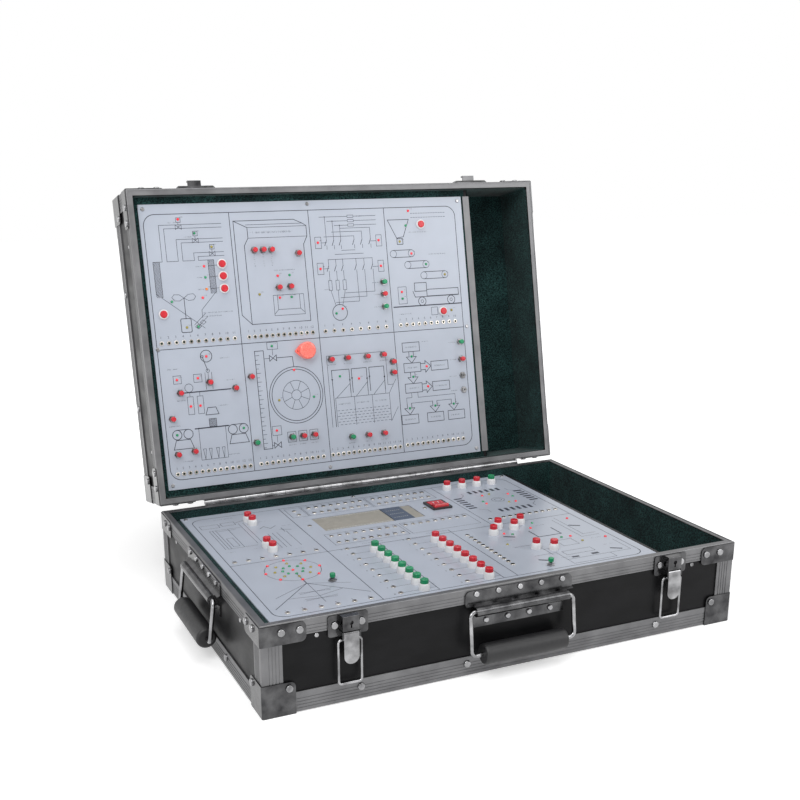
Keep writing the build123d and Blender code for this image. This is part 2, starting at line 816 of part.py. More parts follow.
def round_cap(bottom, top):
    """The coloured cap of a large push button, at rest, between two heights."""
    cap = upright(cap_radius, 0, 0, bottom, top)
    return fillet(cap.edges().sort_by(Axis.Z)[-1], cap_edge_round)


def large_cap():
    """The cap of one of the base's large push buttons."""
    return round_cap(collar_floor + button_travel + button_stop_gap, button_height)


def low_cap():
    """The cap of one of the lid's large push buttons."""
    return round_cap(low_collar_floor + small_travel + button_stop_gap, low_button_height)


def small_body():
    """The nut and bush of a small push button or jack."""
    nut = extrude(RegularPolygon(nut_radius, 6), amount=nut_height)
    nut_edges = nut.edges().filter_by_position(Axis.Z, nut_height - near, nut_height + near)
    nut = chamfer(nut_edges, nut_chamfer)
    body = nut + upright(bush_radius, 0, 0, -circuit_reach, bush_height)
    return body - upright(stem_radius + stem_clearance, 0, 0, bush_floor, bush_height)


def small_cap():
    """The cap and stem of a small push button, at rest."""
    seat = bush_height + small_travel + button_stop_gap
    cap = upright(small_cap_radius, 0, 0, seat, small_height)
    cap = fillet(cap.edges().sort_by(Axis.Z)[-1], cap_edge_round)
    return cap + upright(stem_radius, 0, 0, bush_floor + small_travel + button_stop_gap, seat)


def buzzer():
    """A round buzzer whose foot runs out into an ear on its left."""
    body = upright(buzzer_radius, 0, 0, 0, buzzer_height)
    body = fillet(body.edges().sort_by(Axis.Z)[-1], buzzer_round)
    ear = Pos(-buzzer_ear_place, 0, 0) * Circle(buzzer_ear_radius)
    foot = make_hull(Circle(buzzer_radius).edges() + ear.edges())
    body += extrude(foot, amount=buzzer_ear_height)
    return body - upright(buzzer_hole, -buzzer_ear_place, 0, 0, buzzer_ear_height)


# The rocker switch, with height 0 at the panel's face
def switch_body():
    """The black frame on the panel and the housing below it."""
    body = block(
        -bezel_width / 2, bezel_width / 2, -bezel_length / 2, bezel_length / 2, 0, bezel_height,
    )
    body = fillet(body.edges().filter_by(Axis.Z), bezel_round)
    body += block(
        -housing_width / 2, housing_width / 2, -housing_length / 2, housing_length / 2, -switch_depth, 0,
    )
    x = housing_width / 2 - switch_wall
    y = housing_length / 2 - switch_wall
    return body - block(-x, x, -y, y, switch_wall - switch_depth, bezel_height)


def rocker():
    """The rocker: a round-ended bar with a shallow valley, tilted to its off position."""
    x = housing_width / 2 - switch_wall - rocker_clearance
    reach = housing_length / 2 - switch_wall - rocker_clearance
    rise = rocker_rise + reach * tan(radians(rocker_tilt))
    outline = Polyline(
        (-reach, -rocker_drop), (reach, -rocker_drop), (reach, rise), (0, rocker_rise), (-reach, rise),
        close=True,
    )
    profile = Plane.YZ * (make_face(outline) & Circle(reach))
    return Rot(-rocker_tilt, 0, 0) * extrude(profile, amount=x, both=True)


# Hinge
def knuckles(first):
    """Every other knuckle of the hinge, with the web that joins it to its leaf below the axis."""
    pitch = hinge_length / knuckle_count
    pieces = []
    for i in range(first, knuckle_count, 2):
        x = -hinge_length / 2 + pitch * (i + 0.5)
        half = (pitch - knuckle_gap) / 2
        knuckle = rod(knuckle_radius, half * 2, x, hinge_y, hinge_z)
        knuckle += block(x - half, x + half, half_depth, hinge_y, hinge_z - knuckle_radius, leaf_top)
        pieces.append(knuckle - rod(hinge_pin_radius + hinge_pin_clearance, half * 2, x, hinge_y, hinge_z))
    return pieces


def hinge_half(first):
    """A leaf on the back of a rim, below the axis, with its knuckles as one solid."""
    half = hinge_length / 2
    leaf = block(-half, half, half_depth, half_depth + leaf_skin, leaf_top - leaf_height, leaf_top)
    for knuckle in knuckles(first):
        leaf += knuckle
    return leaf


def base_hinge():
    """The base's leaf and the long pin."""
    pin = rod(hinge_pin_radius, hinge_length, 0, hinge_y, hinge_z)
    return [hinge_half(0), pin]


def lid_hinge():
    """The closed lid's leaf, the base's kind of leaf turned over about the axis."""
    return mirror(hinge_half(1), about=Plane(origin=(0, hinge_y, hinge_z), z_dir=(0, 0, 1)))


def hinge_rivets(z):
    """Rivet heads along a hinge leaf on the back."""
    rivet = head(small_rivet_radius, small_rivet_height)
    span = hinge_length / hinge_rivet_count
    places = [span * (i + 0.5) - hinge_length / 2 for i in range(hinge_rivet_count)]
    return [on_face(rivet, "back", x, leaf_skin, z) for x in places]


# Draw latches, drawn on the front face about X = 0
def front_block(x0, x1, out0, out1, z0, z1):
    """A box on the front face, given by how far it stands out from the trims."""
    return block(x0, x1, -half_depth - out1, -half_depth - out0, z0, z1)


def latch_plate():
    """The latch's plate with its lock housing, ears and pin."""
    z1 = base_height - latch_plate_drop
    z0 = z1 - latch_plate_height
    skin = latch_plate_skin
    half = latch_plate_width / 2
    plate = front_block(-half, half, 0, skin, z0, z1)
    plate = fillet(plate.edges().filter_by(Axis.Y), latch_plate_round)
    half = lock_width / 2
    lock_bottom = lever_pin_z + lever_knuckle_radius + latch_clearance
    lock = front_block(-half, half, 0, skin + lock_depth, lock_bottom, z1)
    lock = fillet(lock.faces().sort_by(Axis.Y)[0].edges(), lock_round)
    plate += lock
    face = -half_depth - skin - lock_depth
    key_z = (lock_bottom + z1) / 2 + keyhole_radius / 2
    keyhole = Cylinder(keyhole_radius, keyhole_depth)
    keyhole += Pos(0, -keyhole_radius * 1.2, 0) * Box(keyhole_slot, keyhole_radius * 2.4, keyhole_depth)
    plate -= Pos(0, face + keyhole_depth / 2, key_z) * Rot(90, 0, 0) * keyhole
    inner = lever_width / 2 + latch_clearance
    for side in (-1, 1):
        ends = sorted((side * inner, side * (inner + latch_plate_skin)))
        plate += front_block(
            ends[0], ends[1], 0, lever_stand + lever_pin_radius + latch_plate_skin, z0, lock_bottom,
        )
    pin_length = 2 * (inner + latch_plate_skin)
    return plate + rod(lever_pin_radius, pin_length, 0, -half_depth - lever_stand, lever_pin_z)


def latch_lever():
    """The lever, hanging from its pin, with the two lugs that carry the bail."""
    out = lever_stand
    y = -half_depth - out
    half = lever_width / 2
    z1 = lever_pin_z
    lever = rod(lever_knuckle_radius, lever_width, 0, y, z1)
    plate_in = out + lever_knuckle_radius - lever_skin
    plate_out = out + lever_knuckle_radius
    z0 = z1 - lever_length + half
    lever += front_block(-half, half, plate_in, plate_out, z0, z1)
    tongue = Rot(90, 0, 0) * Cylinder(half, lever_skin)
    lever += Pos(0, -half_depth - (plate_in + plate_out) / 2, z0) * tongue
    lug_reach = bail_wire + lug_wall
    for side in (-1, 1):
        ends = sorted((side * half, side * (half - lever_skin)))
        lever += front_block(
            ends[0], ends[1], bail_stand - lug_reach, plate_out,
            bail_pivot_z - lug_reach, bail_pivot_z + lug_reach,
        )
    lever -= rod(lever_pin_radius + pin_clearance, lever_width, 0, y, z1)
    return lever - rod(bail_wire + pin_clearance, lever_width, 0, -half_depth - bail_stand, bail_pivot_z)


def latch_bail():
    """The wire loop that hangs from the lever's lugs and hooks over the lid's catch."""
    x = bail_width / 2
    z1 = bail_pivot_z
    z0 = z1 - bail_length
    inner = lever_width / 2 - lever_skin
    bends = (bail_eye_bend, bail_bend, bail_bend, bail_eye_bend)
    outline = FilletPolyline((-inner, z1), (-x, z1), (-x, z0), (x, z0), (x, z1), (inner, z1), radius=bends)
    return bent_wire(outline, bail_wire, -half_depth - bail_stand)


def bent_wire(outline, radius, y):
    """A round wire along an outline drawn in X and Z."""
    path = Plane(origin=(0, y, 0), x_dir=(1, 0, 0), z_dir=(0, -1, 0)) * outline
    section = Plane(origin=path @ 0, z_dir=path % 0) * Circle(radius)
    return sweep(section, path=path)


def lid_catch():
    """The catch on the closed lid's front, with its hook standing up behind the bail's wire."""
    z0 = lid_rim + catch_rise
    z1 = z0 + catch_base_height
    half = catch_base_width / 2
    plate = front_block(-half, half, 0, catch_base_skin, z0, z1)
    plate = fillet(plate.edges().filter_by(Axis.Y), catch_round)
    plate = chamfer(plate.faces().sort_by(Axis.Y)[0].edges(), catch_bevel)
    arm_top = latched_wire_z - bail_wire - latch_clearance
    half = catch_hook_width / 2
    skin = catch_hook_skin
    depth = catch_hook_depth
    arm = front_block(-half, half, 0, depth, arm_top - skin, arm_top)
    lip = front_block(-half, half, depth - skin, depth, arm_top - skin, arm_top + catch_lip)
    return plate + arm + lip


# Carry handles, drawn on the front face about X = 0
def handle_bracket():
    """The bracket: an upper leaf on the rim band, a lower leaf on the board and the barrel between."""
    top = base_height - bracket_top_drop
    band_bottom = base_height - rim_band
    axis_z = base_height - barrel_drop
    web_top = axis_z + barrel_radius
    web_bottom = axis_z - barrel_radius
    skin = bracket_skin
    leaf_bottom = top - bracket_height
    outline = Polyline(
        (0, top), (skin, top), (skin, web_top + skin), (barrel_stand, web_top - skin),
        (barrel_stand, web_bottom + skin), (skin - board_face, web_bottom - skin * 2),
        (skin - board_face, leaf_bottom), (-board_face, leaf_bottom), (-board_face, band_bottom),
        (0, band_bottom), close=True,
    )
    face = Plane(origin=(0, -half_depth, 0), x_dir=(0, -1, 0), z_dir=(-1, 0, 0)) * make_face(outline)
    bracket = extrude(face, amount=bracket_width / 2, both=True)
    bracket = bracket & bracket_outline(leaf_bottom, top)
    bracket += rod(barrel_radius, barrel_length, 0, -half_depth - barrel_stand, axis_z)
    bore = handle_wire + pin_clearance
    return bracket - rod(bore, bracket_width, 0, -half_depth - barrel_stand, axis_z)


def bracket_outline(z0, z1):
    """The bracket's outline seen from the front, with rounded upper corners and a narrower lower leaf."""
    half = bracket_width / 2
    step = base_height - barrel_drop + barrel_radius
    upper = front_block(-half, half, -board, barrel_stand * 2, step, z1)
    upper = fillet(upper.edges().filter_by(Axis.Y).sort_by(Axis.Z)[-2:], plate_round)
    half = barrel_length / 2
    return upper + front_block(-half, half, -board, barrel_stand * 2, z0, step)


def handle_bail():
    """The wire of a carry handle, leaning out from its barrel down to the grip."""
    x = handle_width / 2
    inner = barrel_length / 2 - handle_engagement
    z = -handle_drop
    outline = FilletPolyline((-inner, 0), (-x, 0), (-x, z), (x, z), (x, 0), (inner, 0), radius=handle_bend)
    return at_handle(bent_wire(outline, handle_wire, 0))


def handle_grip():
    """The grip on the wire's lower run."""
    grip = rod(grip_radius, grip_length, 0, 0, -handle_drop)
    grip = fillet(grip.edges().filter_by(GeomType.CIRCLE), grip_round)
    return at_handle(grip - rod(handle_wire + pin_clearance, grip_length, 0, 0, -handle_drop))


def at_handle(piece):
    """Puts a piece drawn about the handle's pivot in its hanging, leaning place."""
    return Pos(0, -half_depth - barrel_stand, base_height - barrel_drop) * Rot(-handle_lean, 0, 0) * piece


def bracket_rivets():
    """The two rows of rivet heads on a bracket, in front-face places."""
    rivet = head(bracket_rivet_radius, rivet_height)
    rows = []
    for drop, out, count in (
        (bracket_upper_rivet_drop, bracket_skin, bracket_rivet_count),
        (bracket_lower_rivet_drop, bracket_skin - board_face, bracket_rivet_count - 1),
    ):
        for i in range(count):
            x = (i - (count - 1) / 2) * bracket_rivet_pitch
            rows.append(on_face(rivet, "front", x, out, base_height - drop))
    return rows


def on_left_face(piece):
    """Moves a piece from the middle of the front face to the middle of the left face."""
    return Pos(half_depth - half_width, 0, 0) * Rot(0, 0, -90) * piece


def latch_screws():
    """The two screws of a latch plate, in front-face places."""
    screw = head(rivet_radius, rivet_height)
    z = base_height - latch_screw_drop
    return [on_face(screw, "front", side * latch_screw_spread / 2, latch_plate_skin, z) for side in (-1, 1)]


def at_latches(pieces):
    """Copies of front-face pieces at the left and the right latch."""
    spread = half_width - latch_inset
    return [[Pos(side * spread, 0, 0) * piece for piece in pieces] for side in (-1, 1)]


# The lid
def turned_over(pieces):
    """Turns a half of the case over, so that it lies closed on the base."""
    return [Pos(0, 0, lid_top) * Rot(180, 0, 0) * piece for piece in pieces]


def swung(pieces):
    """Swings pieces of the closed lid back about the hinge to where it stands open."""
    about = Pos(0, hinge_y, hinge_z) * Rot(-lid_open_angle, 0, 0) * Pos(0, -hinge_y, -hinge_z)
    return [about * piece for piece in pieces]


def lid_divider():
    """The board between the closed lid's panel and its compartment."""
    x = lid_divider_x + (strip_width - divider_board) / 2
    y = half_depth - wall
    return block(x, x + divider_board, -y, y, lid_panel_face + trim_skin, lid_top - floor_top)


def lid_strip():
    """The aluminium strip over the lid's divider."""
    x = lid_divider_x
    return block(x, x + strip_width, lid_panel_y0, lid_panel_y1, lid_panel_face, lid_panel_face + trim_skin)


def lid_lining():
    """Velvet on the lid's walls, its compartment and the panel's ledges, for the closed lid."""
    x = half_width - wall
    y = half_depth - wall
    top = lid_top - floor_top
    board_x = lid_divider_x + (strip_width - divider_board) / 2
    face = board_x + divider_board
    edges = (lid_panel_x0, lid_panel_x1, lid_panel_y0, lid_panel_y1)
    z0 = lid_panel_back_face
    ledge = ledges(-x, board_x, -y, y, edges, z0, z0 + ledge_height)
    back = block(face, x, -y, y, top - lining, top)
    side = block(face, face + lining, -y, y, lid_panel_face + trim_skin, top - lining)
    walls = turned_over([ring(board_back, lining, floor_top, lid_height - trim_skin)])
    return walls + [ledge, back, side]


def lid_rivets():
    """The lid's rivets and screws, for the closed lid."""
    screw = head(screw_radius, screw_height)
    on_leaf = hinge_rivets(2 * hinge_z - leaf_top + leaf_height / 2)
    return turned_over(shell_rivets(lid_height)) + on_lid_panel(screw, lid_screws) + on_leaf


def base_nodes():
    """Every node of the base that does not move."""
    screw = head(screw_radius, screw_height)
    bracket = handle_bracket()
    plates = at_latches([latch_plate()])
    rivets = shell_rivets(base_height) + on_base_panel(screw, base_screws)
    rivets += hinge_rivets(leaf_top - leaf_height / 2)
    rivets += bracket_rivets() + [on_left_face(rivet) for rivet in bracket_rivets()]
    for latch in at_latches(latch_screws()):
        rivets += latch
    large = green_buttons + red_buttons + other_base_buttons
    bodies = on_base_panel(large_collar(), large) + on_base_panel(small_body(), base_small_buttons)
    at_switch = Pos(*on_base(*switch_centre), panel_top)
    return {
        "base_wall_boards": side_boards(base_height) + [base_divider()],
        "base_floor_board": [floor_board()],
        "base_rim": rim(base_height),
        "base_edge_trims": edge_trims() + corner_posts(base_height),
        "base_corner_caps": corner_caps() + corner_plates(base_height),
        "base_lining": base_lining(),
        "base_panel": [base_panel()],
        "base_sockets": on_base_panel(socket(), base_socket_rows),
        "base_lights": on_base_panel(light(), base_lights + rosette()),
        "base_button_bodies": bodies,
        "controller_module": controller_module(),
        "power_supply": [power_supply()],
        "base_circuit_board": [base_circuit_board()],
        "switch_body": [at_switch * switch_body()],
        "latch_plates": plates[0] + plates[1],
        "handle_brackets": [bracket, on_left_face(bracket)],
        "base_rivets": rivets,
        "base_hinge_leaf": base_hinge(),
    }


def lid_nodes():
    """Every node fixed in the lid, for the closed lid."""
    catches = at_latches([lid_catch()])
    bodies = on_lid_panel(low_collar(), lid_large_buttons)
    bodies += on_lid_panel(small_body(), lid_small_buttons + jack_pair)
    caps = on_lid_panel(low_cap(), lid_large_buttons) + on_lid_panel(small_cap(), lid_small_buttons)
    return {
        "lid_wall_boards": turned_over(side_boards(lid_height)) + [lid_divider()],
        "lid_top_board": turned_over([floor_board()]),
        "lid_rim": turned_over(rim(lid_height)),
        "lid_edge_trims": turned_over(edge_trims() + corner_posts(lid_height)) + [lid_strip()],
        "lid_corner_caps": turned_over(corner_caps() + corner_plates(lid_height)),
        "lid_lining": lid_lining(),
        "lid_panel": [lid_panel()],
        "lid_sockets": on_lid_panel(socket(), lid_socket_rows),
        "lid_lights": on_lid_panel(light(), lid_lights),
        "lid_button_bodies": bodies,
        "lid_circuit_board": [lid_circuit_board()],
        "buzzer": on_lid_panel(buzzer(), [buzzer_centre]),
        "lid_catches": catches[0] + catches[1],
        "lid_rivets": lid_rivets(),
        "lid_hinge_leaf": [lid_hinge()],
        "lid_button_caps": caps,
    }


def moving_nodes():
    """Every node of the base that moves, at rest."""
    nodes = {"rocker": [Pos(*on_base(*switch_centre), panel_top) * rocker()]}
    bail = handle_bail()
    grip = handle_grip()
    nodes["front_handle_bail"] = [bail]
    nodes["front_handle_grip"] = [grip]
    nodes["side_handle_bail"] = [on_left_face(bail)]
    nodes["side_handle_grip"] = [on_left_face(grip)]
    for name, latch in zip(("left", "right"), at_latches([latch_lever(), latch_bail()])):
        nodes["latch_lever_" + name] = [latch[0]]
        nodes["latch_bail_" + name] = [latch[1]]
    for colour, places in (("green", green_buttons), ("red", red_buttons)):
        for i, cap in enumerate(on_base_panel(large_cap(), places)):
            nodes[f"{colour}_cap_{i + 1}"] = [cap]
    others = on_base_panel(large_cap(), other_base_buttons) + on_base_panel(small_cap(), base_small_buttons)
    nodes["base_button_caps"] = others
    return nodes


def main():
    os.makedirs("parts", exist_ok=True)
    nodes = base_nodes()
    for name, pieces in lid_nodes().items():
        nodes[name] = swung(pieces)
    nodes.update(moving_nodes())
    for name, pieces in nodes.items():
        export_step(group(pieces), f"parts/{name}.step")


main()
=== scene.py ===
import json
import math
import random
import bmesh
import bpy
from mathutils import Matrix, Vector, noise
from mathutils.bvhtree import BVHTree


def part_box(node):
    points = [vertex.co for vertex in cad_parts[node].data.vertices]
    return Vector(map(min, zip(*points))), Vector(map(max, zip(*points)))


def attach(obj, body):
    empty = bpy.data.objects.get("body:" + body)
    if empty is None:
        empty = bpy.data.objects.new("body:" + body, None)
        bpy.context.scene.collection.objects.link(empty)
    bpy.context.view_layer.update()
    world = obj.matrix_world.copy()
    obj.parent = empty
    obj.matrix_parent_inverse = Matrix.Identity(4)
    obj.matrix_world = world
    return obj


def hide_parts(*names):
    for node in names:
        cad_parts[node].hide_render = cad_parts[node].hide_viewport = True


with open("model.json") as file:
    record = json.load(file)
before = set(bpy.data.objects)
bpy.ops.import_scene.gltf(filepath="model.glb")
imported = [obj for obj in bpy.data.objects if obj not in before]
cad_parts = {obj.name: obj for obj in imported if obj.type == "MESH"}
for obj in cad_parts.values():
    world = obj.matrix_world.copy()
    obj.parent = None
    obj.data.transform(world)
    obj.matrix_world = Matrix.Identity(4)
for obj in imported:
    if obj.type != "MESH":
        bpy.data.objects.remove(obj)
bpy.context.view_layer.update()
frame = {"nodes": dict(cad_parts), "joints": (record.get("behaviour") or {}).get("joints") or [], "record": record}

mm = 0.001
shut_hinge = next(joint for joint in frame["joints"] if joint["name"] == "lid_hinge")
hinge_at = Vector(shut_hinge["pos_m"])
lid_angle = math.radians(shut_hinge["range_deg"][1])
opened = (
    Matrix.Translation(hinge_at)
    @ Matrix.Rotation(-lid_angle, 4, "X")
    @ Matrix.Translation(-hinge_at)
)

# Edges of the CAD nodes
board_bevel = 0.3 * mm
trim_bevel = 0.25 * mm
housing_bevel = 0.4 * mm
lever_bevel = 0.2 * mm
bevel_angle = 50  # between faces, in degrees
part_smooth = 35  # edges with a larger angle stay sharp, in degrees
module_smooth = 40
velvet_smooth = 60

# Velvet
cell = 8 * mm  # of its mesh
pile_height = 0.7 * mm
pile_wave = 0.35 * mm
waves_a_metre = 38
edge_pile = 0.15 * mm
seam_pile = 0.1 * mm
wall_seams = (-0.085, 0.03, 0.12)  # along the compartment's right wall
bend_radius = 5 * mm  # in the case's upright corners
bend_steps = 4
lining = 1.5 * mm  # the CAD lining's thickness
under_panel = 2 * mm  # how far the ledges' velvet goes below the panels
base_divider_gap = 6 * mm  # from the panel's end to the divider's velvet
lid_divider_gap = 11.5 * mm
lid_end_ledge = 6 * mm
inlet_middle = 96  # the opening for the power inlet, in mm
inlet_half_width = 15.5
inlet_bottom = 8
inlet_top = 32

# Places and sizes on the panels' drawings, in mm
base_origin = (21.5, 9.0)  # the panels' front left corners
lid_origin = (15.5, 18.0)
base_frame = (31, 39, 499.5, 385)
lid_frame = (20.5, 31, 475, 378.5)
lid_columns = (136, 248.5, 362.5)
lid_middle = 205.5
frame_corner = 15
ink_lift = 0.06
thin = 0.6
medium = 0.9
thick = 1.6
hair = 0.2
figure_height = 3.0
note_height = 1.3
module_front = 275.6
module_back = 327.4
terminal_pitch = 4.2
terminal_size = 3.2


# Node material helpers
noise_low = 0.3
noise_high = 0.7


def set_inputs(node, values):
    """Sets inputs of a node by their names."""
    for name, value in values.items():
        node.inputs[name].default_value = value


def new_material(name, colour, roughness, metallic=0.0):
    """A material with its principled shader; the colour is linear."""
    material = bpy.data.materials.new(name)
    material.use_nodes = True
    shader = material.node_tree.nodes["Principled BSDF"]
    set_inputs(shader, {"Base Color": (*colour, 1), "Roughness": roughness, "Metallic": metallic})
    return material, shader


def add_noise(material, scale, detail=3.0, stretch=(1, 1, 1)):
    """Noise in the model's own coordinates; scale is in features a metre."""
    nodes = material.node_tree.nodes
    links = material.node_tree.links
    coordinates = nodes.new("ShaderNodeTexCoord")
    mapping = nodes.new("ShaderNodeMapping")
    mapping.inputs["Scale"].default_value = stretch
    texture = nodes.new("ShaderNodeTexNoise")
    set_inputs(texture, {"Scale": scale, "Detail": detail})
    links.new(coordinates.outputs["Object"], mapping.inputs["Vector"])
    links.new(mapping.outputs["Vector"], texture.inputs["Vector"])
    return texture.outputs["Fac"]


def add_ramp(material, value, stops):
    """A colour ramp from a value; each stop is a position and a linear colour."""
    ramp = material.node_tree.nodes.new("ShaderNodeValToRGB")
    elements = ramp.color_ramp.elements
    while len(elements) < len(stops):
        elements.new(0.5)
    for element, (position, colour) in zip(elements, stops):
        element.position = position
        element.color = (*colour, 1)
    material.node_tree.links.new(value, ramp.inputs["Fac"])
    return ramp.outputs["Color"]


def add_range(material, value, low, high):
    """Maps a value from 0.3 to 0.7, where noise lies, onto a range."""
    node = material.node_tree.nodes.new("ShaderNodeMapRange")
    set_inputs(node, {"From Min": noise_low, "From Max": noise_high, "To Min": low, "To Max": high})
    material.node_tree.links.new(value, node.inputs["Value"])
    return node.outputs["Result"]


def add_bump(material, shader, value, strength, depth):
    """Bump from a value; depth is in metres."""
    node = material.node_tree.nodes.new("ShaderNodeBump")
    set_inputs(node, {"Strength": strength, "Distance": depth})
    material.node_tree.links.new(value, node.inputs["Height"])
    material.node_tree.links.new(node.outputs["Normal"], shader.inputs["Normal"])


def mixed(material, factor, first, second):
    """Mixes two colour outputs."""
    node = material.node_tree.nodes.new("ShaderNodeMix")
    node.data_type = "RGBA"
    links = material.node_tree.links
    links.new(factor, node.inputs["Factor"])
    links.new(first, node.inputs["A"])
    links.new(second, node.inputs["B"])
    return node.outputs["Result"]


def shade(material, shader, value, stops, rough_low, rough_high):
    """Colour and gloss of a surface from one value."""
    links = material.node_tree.links
    links.new(add_ramp(material, value, stops), shader.inputs["Base Color"])
    links.new(add_range(material, value, rough_low, rough_high), shader.inputs["Roughness"])


def varied(material, shader, scale, dark, light, rough_low, rough_high, bump=0.0):
    """Gives a surface slightly uneven colour and gloss, and a fine bump."""
    value = add_noise(material, scale, 4)
    shade(material, shader, value, [(noise_low, dark), (noise_high, light)], rough_low, rough_high)
    if bump:
        add_bump(material, shader, value, 0.5, bump)


# Materials
def anodised():
    """Trims: anodised aluminium with fine grain and dull patches; its dark grey is a painted dark reflection of
    the surroundings.
    """
    material, shader = new_material("anodised", (0.2, 0.2, 0.205), 0.35, 1.0)
    patches = add_noise(material, 35, 4)
    grain = add_noise(material, 2600, 2)
    # The dark greys of these stops are a painted dark reflection; the noise between them gives the dull patches.
    shade(material, shader, patches, [(0.3, (0.13, 0.13, 0.134)), (0.7, (0.2, 0.2, 0.205))], 0.36, 0.5)
    add_bump(material, shader, grain, 0.25, 0.00008)
    return material


def plated(name, dark, light, rough_low, rough_high):
    """Plated steel with faint waves and smears."""
    material, shader = new_material(name, light, rough_low, 1.0)
    smears = add_noise(material, 60, 5)
    shade(material, shader, smears, [(0.32, dark), (0.66, light)], rough_low, rough_high)
    add_bump(material, shader, add_noise(material, 90, 2), 0.35, 0.0004)
    return material


def laminate():
    """Boards: black laminate with a fine leather-like grain and faint scuffs."""
    material, shader = new_material("laminate", (0.012, 0.012, 0.013), 0.35)
    scuffs = add_noise(material, 18, 6, (1, 1, 2.5))
    stops = [(0.35, (0.005, 0.005, 0.0055)), (0.75, (0.010, 0.010, 0.011))]
    shade(material, shader, scuffs, stops, 0.3, 0.46)
    shader.inputs["Specular IOR Level"].default_value = 0.12
    add_bump(material, shader, add_noise(material, 1300, 2), 0.3, 0.00012)
    return material


def velvet():
    """Lining: dark teal flock with lighter flecks, rubbed in places."""
    material, shader = new_material("velvet", (0.008, 0.02, 0.022), 0.95)
    flecks = add_noise(material, 620, 2)
    rubbed = add_noise(material, 22, 4)
    dark = add_ramp(material, flecks, [(0.42, (0.003, 0.007, 0.008)), (0.62, (0.012, 0.034, 0.033))])
    pale = add_ramp(material, flecks, [(0.4, (0.006, 0.016, 0.017)), (0.62, (0.03, 0.085, 0.08))])
    share = add_range(material, rubbed, 0.0, 1.0)
    material.node_tree.links.new(mixed(material, share, dark, pale), shader.inputs["Base Color"])
    set_inputs(shader, {"Sheen Weight": 0.08, "Sheen Roughness": 0.5, "Specular IOR Level": 0.1})
    add_bump(material, shader, flecks, 0.8, 0.0006)
    return material


def panel_print():
    """Panels: pale blue-grey print on sheet metal, clear coated."""
    material, shader = new_material("panel_print", (0.43, 0.48, 0.56), 0.4)
    varied(material, shader, 25, (0.4, 0.435, 0.505), (0.43, 0.467, 0.54), 0.3, 0.38)
    set_inputs(shader, {"Coat Weight": 0.2, "Coat Roughness": 0.12})
    return material


def plastic(name, dark, light, rough_low=0.2, rough_high=0.3, scale=120):
    """Moulded plastic with a slightly uneven skin."""
    material, shader = new_material(name, light, rough_low)
    varied(material, shader, scale, dark, light, rough_low, rough_high, 0.0001)
    return material


def lamp_plastic(name, dark, light, glow):
    """A small clear dome, lit a little from inside; on the buzzer, which is no lamp, this is a painted glow."""
    material, shader = new_material(name, light, 0.12)
    varied(material, shader, 500, dark, light, 0.08, 0.2)
    set_inputs(shader, {"Emission Color": (*light, 1), "Emission Strength": glow, "Coat Weight": 0.6})
    return material


def circuit_green():
    """Circuit boards under the panels: green lacquer with copper tracks."""
    material, shader = new_material("circuit_green", (0.02, 0.12, 0.05), 0.35)
    tracks = add_noise(material, 160, 2, (1, 4, 1))
    colour = add_ramp(material, tracks, [(0.45, (0.012, 0.08, 0.03)), (0.55, (0.03, 0.17, 0.07))])
    material.node_tree.links.new(colour, shader.inputs["Base Color"])
    add_bump(material, shader, tracks, 0.3, 0.00005)
    return material


def printing_ink():
    """The dark blue-grey ink of the diagrams."""
    material, shader = new_material("printing_ink", (0.03, 0.035, 0.055), 0.5)
    varied(material, shader, 700, (0.015, 0.018, 0.03), (0.035, 0.04, 0.06), 0.4, 0.55)
    return material


aluminium = anodised()
# Corner caps, latch plates, catches and handle brackets: these very dark colours are a painted dark reflection of
# the surroundings.
corner_steel = plated("corner_steel", (0.035, 0.035, 0.037), (0.12, 0.12, 0.123), 0.14, 0.26)
bright_steel = plated("bright_steel", (0.16, 0.16, 0.164), (0.4, 0.4, 0.41), 0.1, 0.22)
dark_steel = plated("dark_steel", (0.1, 0.1, 0.105), (0.24, 0.24, 0.246), 0.22, 0.34)
nickel = plated("nickel", (0.35, 0.33, 0.3), (0.7, 0.67, 0.62), 0.14, 0.26)
black_laminate = laminate()
teal_velvet = velvet()
pale_panel = panel_print()
white_plastic = plastic("white_plastic", (0.7, 0.7, 0.71), (0.82, 0.82, 0.83))
red_plastic = plastic("red_plastic", (0.5, 0.012, 0.022), (0.64, 0.02, 0.035))
green_plastic = plastic("green_plastic", (0.004, 0.2, 0.075), (0.008, 0.3, 0.12))
black_plastic = plastic("black_plastic", (0.012, 0.012, 0.013), (0.022, 0.022, 0.024), 0.3, 0.45)
grip_plastic = plastic("grip_plastic", (0.006, 0.006, 0.007), (0.013, 0.013, 0.014), 0.4, 0.55, 300)
beige_plastic = plastic("beige_plastic", (0.27, 0.255, 0.22), (0.34, 0.32, 0.28), 0.45, 0.6)
pale_grey_plastic = plastic("pale_grey_plastic", (0.36, 0.35, 0.33), (0.46, 0.45, 0.42), 0.45, 0.6)
slate_plastic = plastic("slate_plastic", (0.05, 0.07, 0.11), (0.075, 0.1, 0.15), 0.4, 0.5)
# The buzzer is no lamp: its emission is a painted glow.
buzzer_plastic_painted_glow = lamp_plastic("buzzer_plastic_painted_glow", (0.72, 0.09, 0.07), (0.92, 0.2, 0.15), 0.18)
green_board = circuit_green()
ink = printing_ink()
lamp_looks = {
    "r": ("red", lamp_plastic("lamp_red", (0.5, 0.01, 0.02), (0.8, 0.02, 0.035), 0.35)),
    "g": ("green", lamp_plastic("lamp_green", (0.01, 0.16, 0.06), (0.02, 0.32, 0.13), 0.12)),
    "y": ("olive", lamp_plastic("lamp_olive", (0.22, 0.19, 0.03), (0.36, 0.3, 0.06), 0.1)),
    "o": ("orange", lamp_plastic("lamp_orange", (0.6, 0.16, 0.02), (0.85, 0.25, 0.04), 0.2)),
}


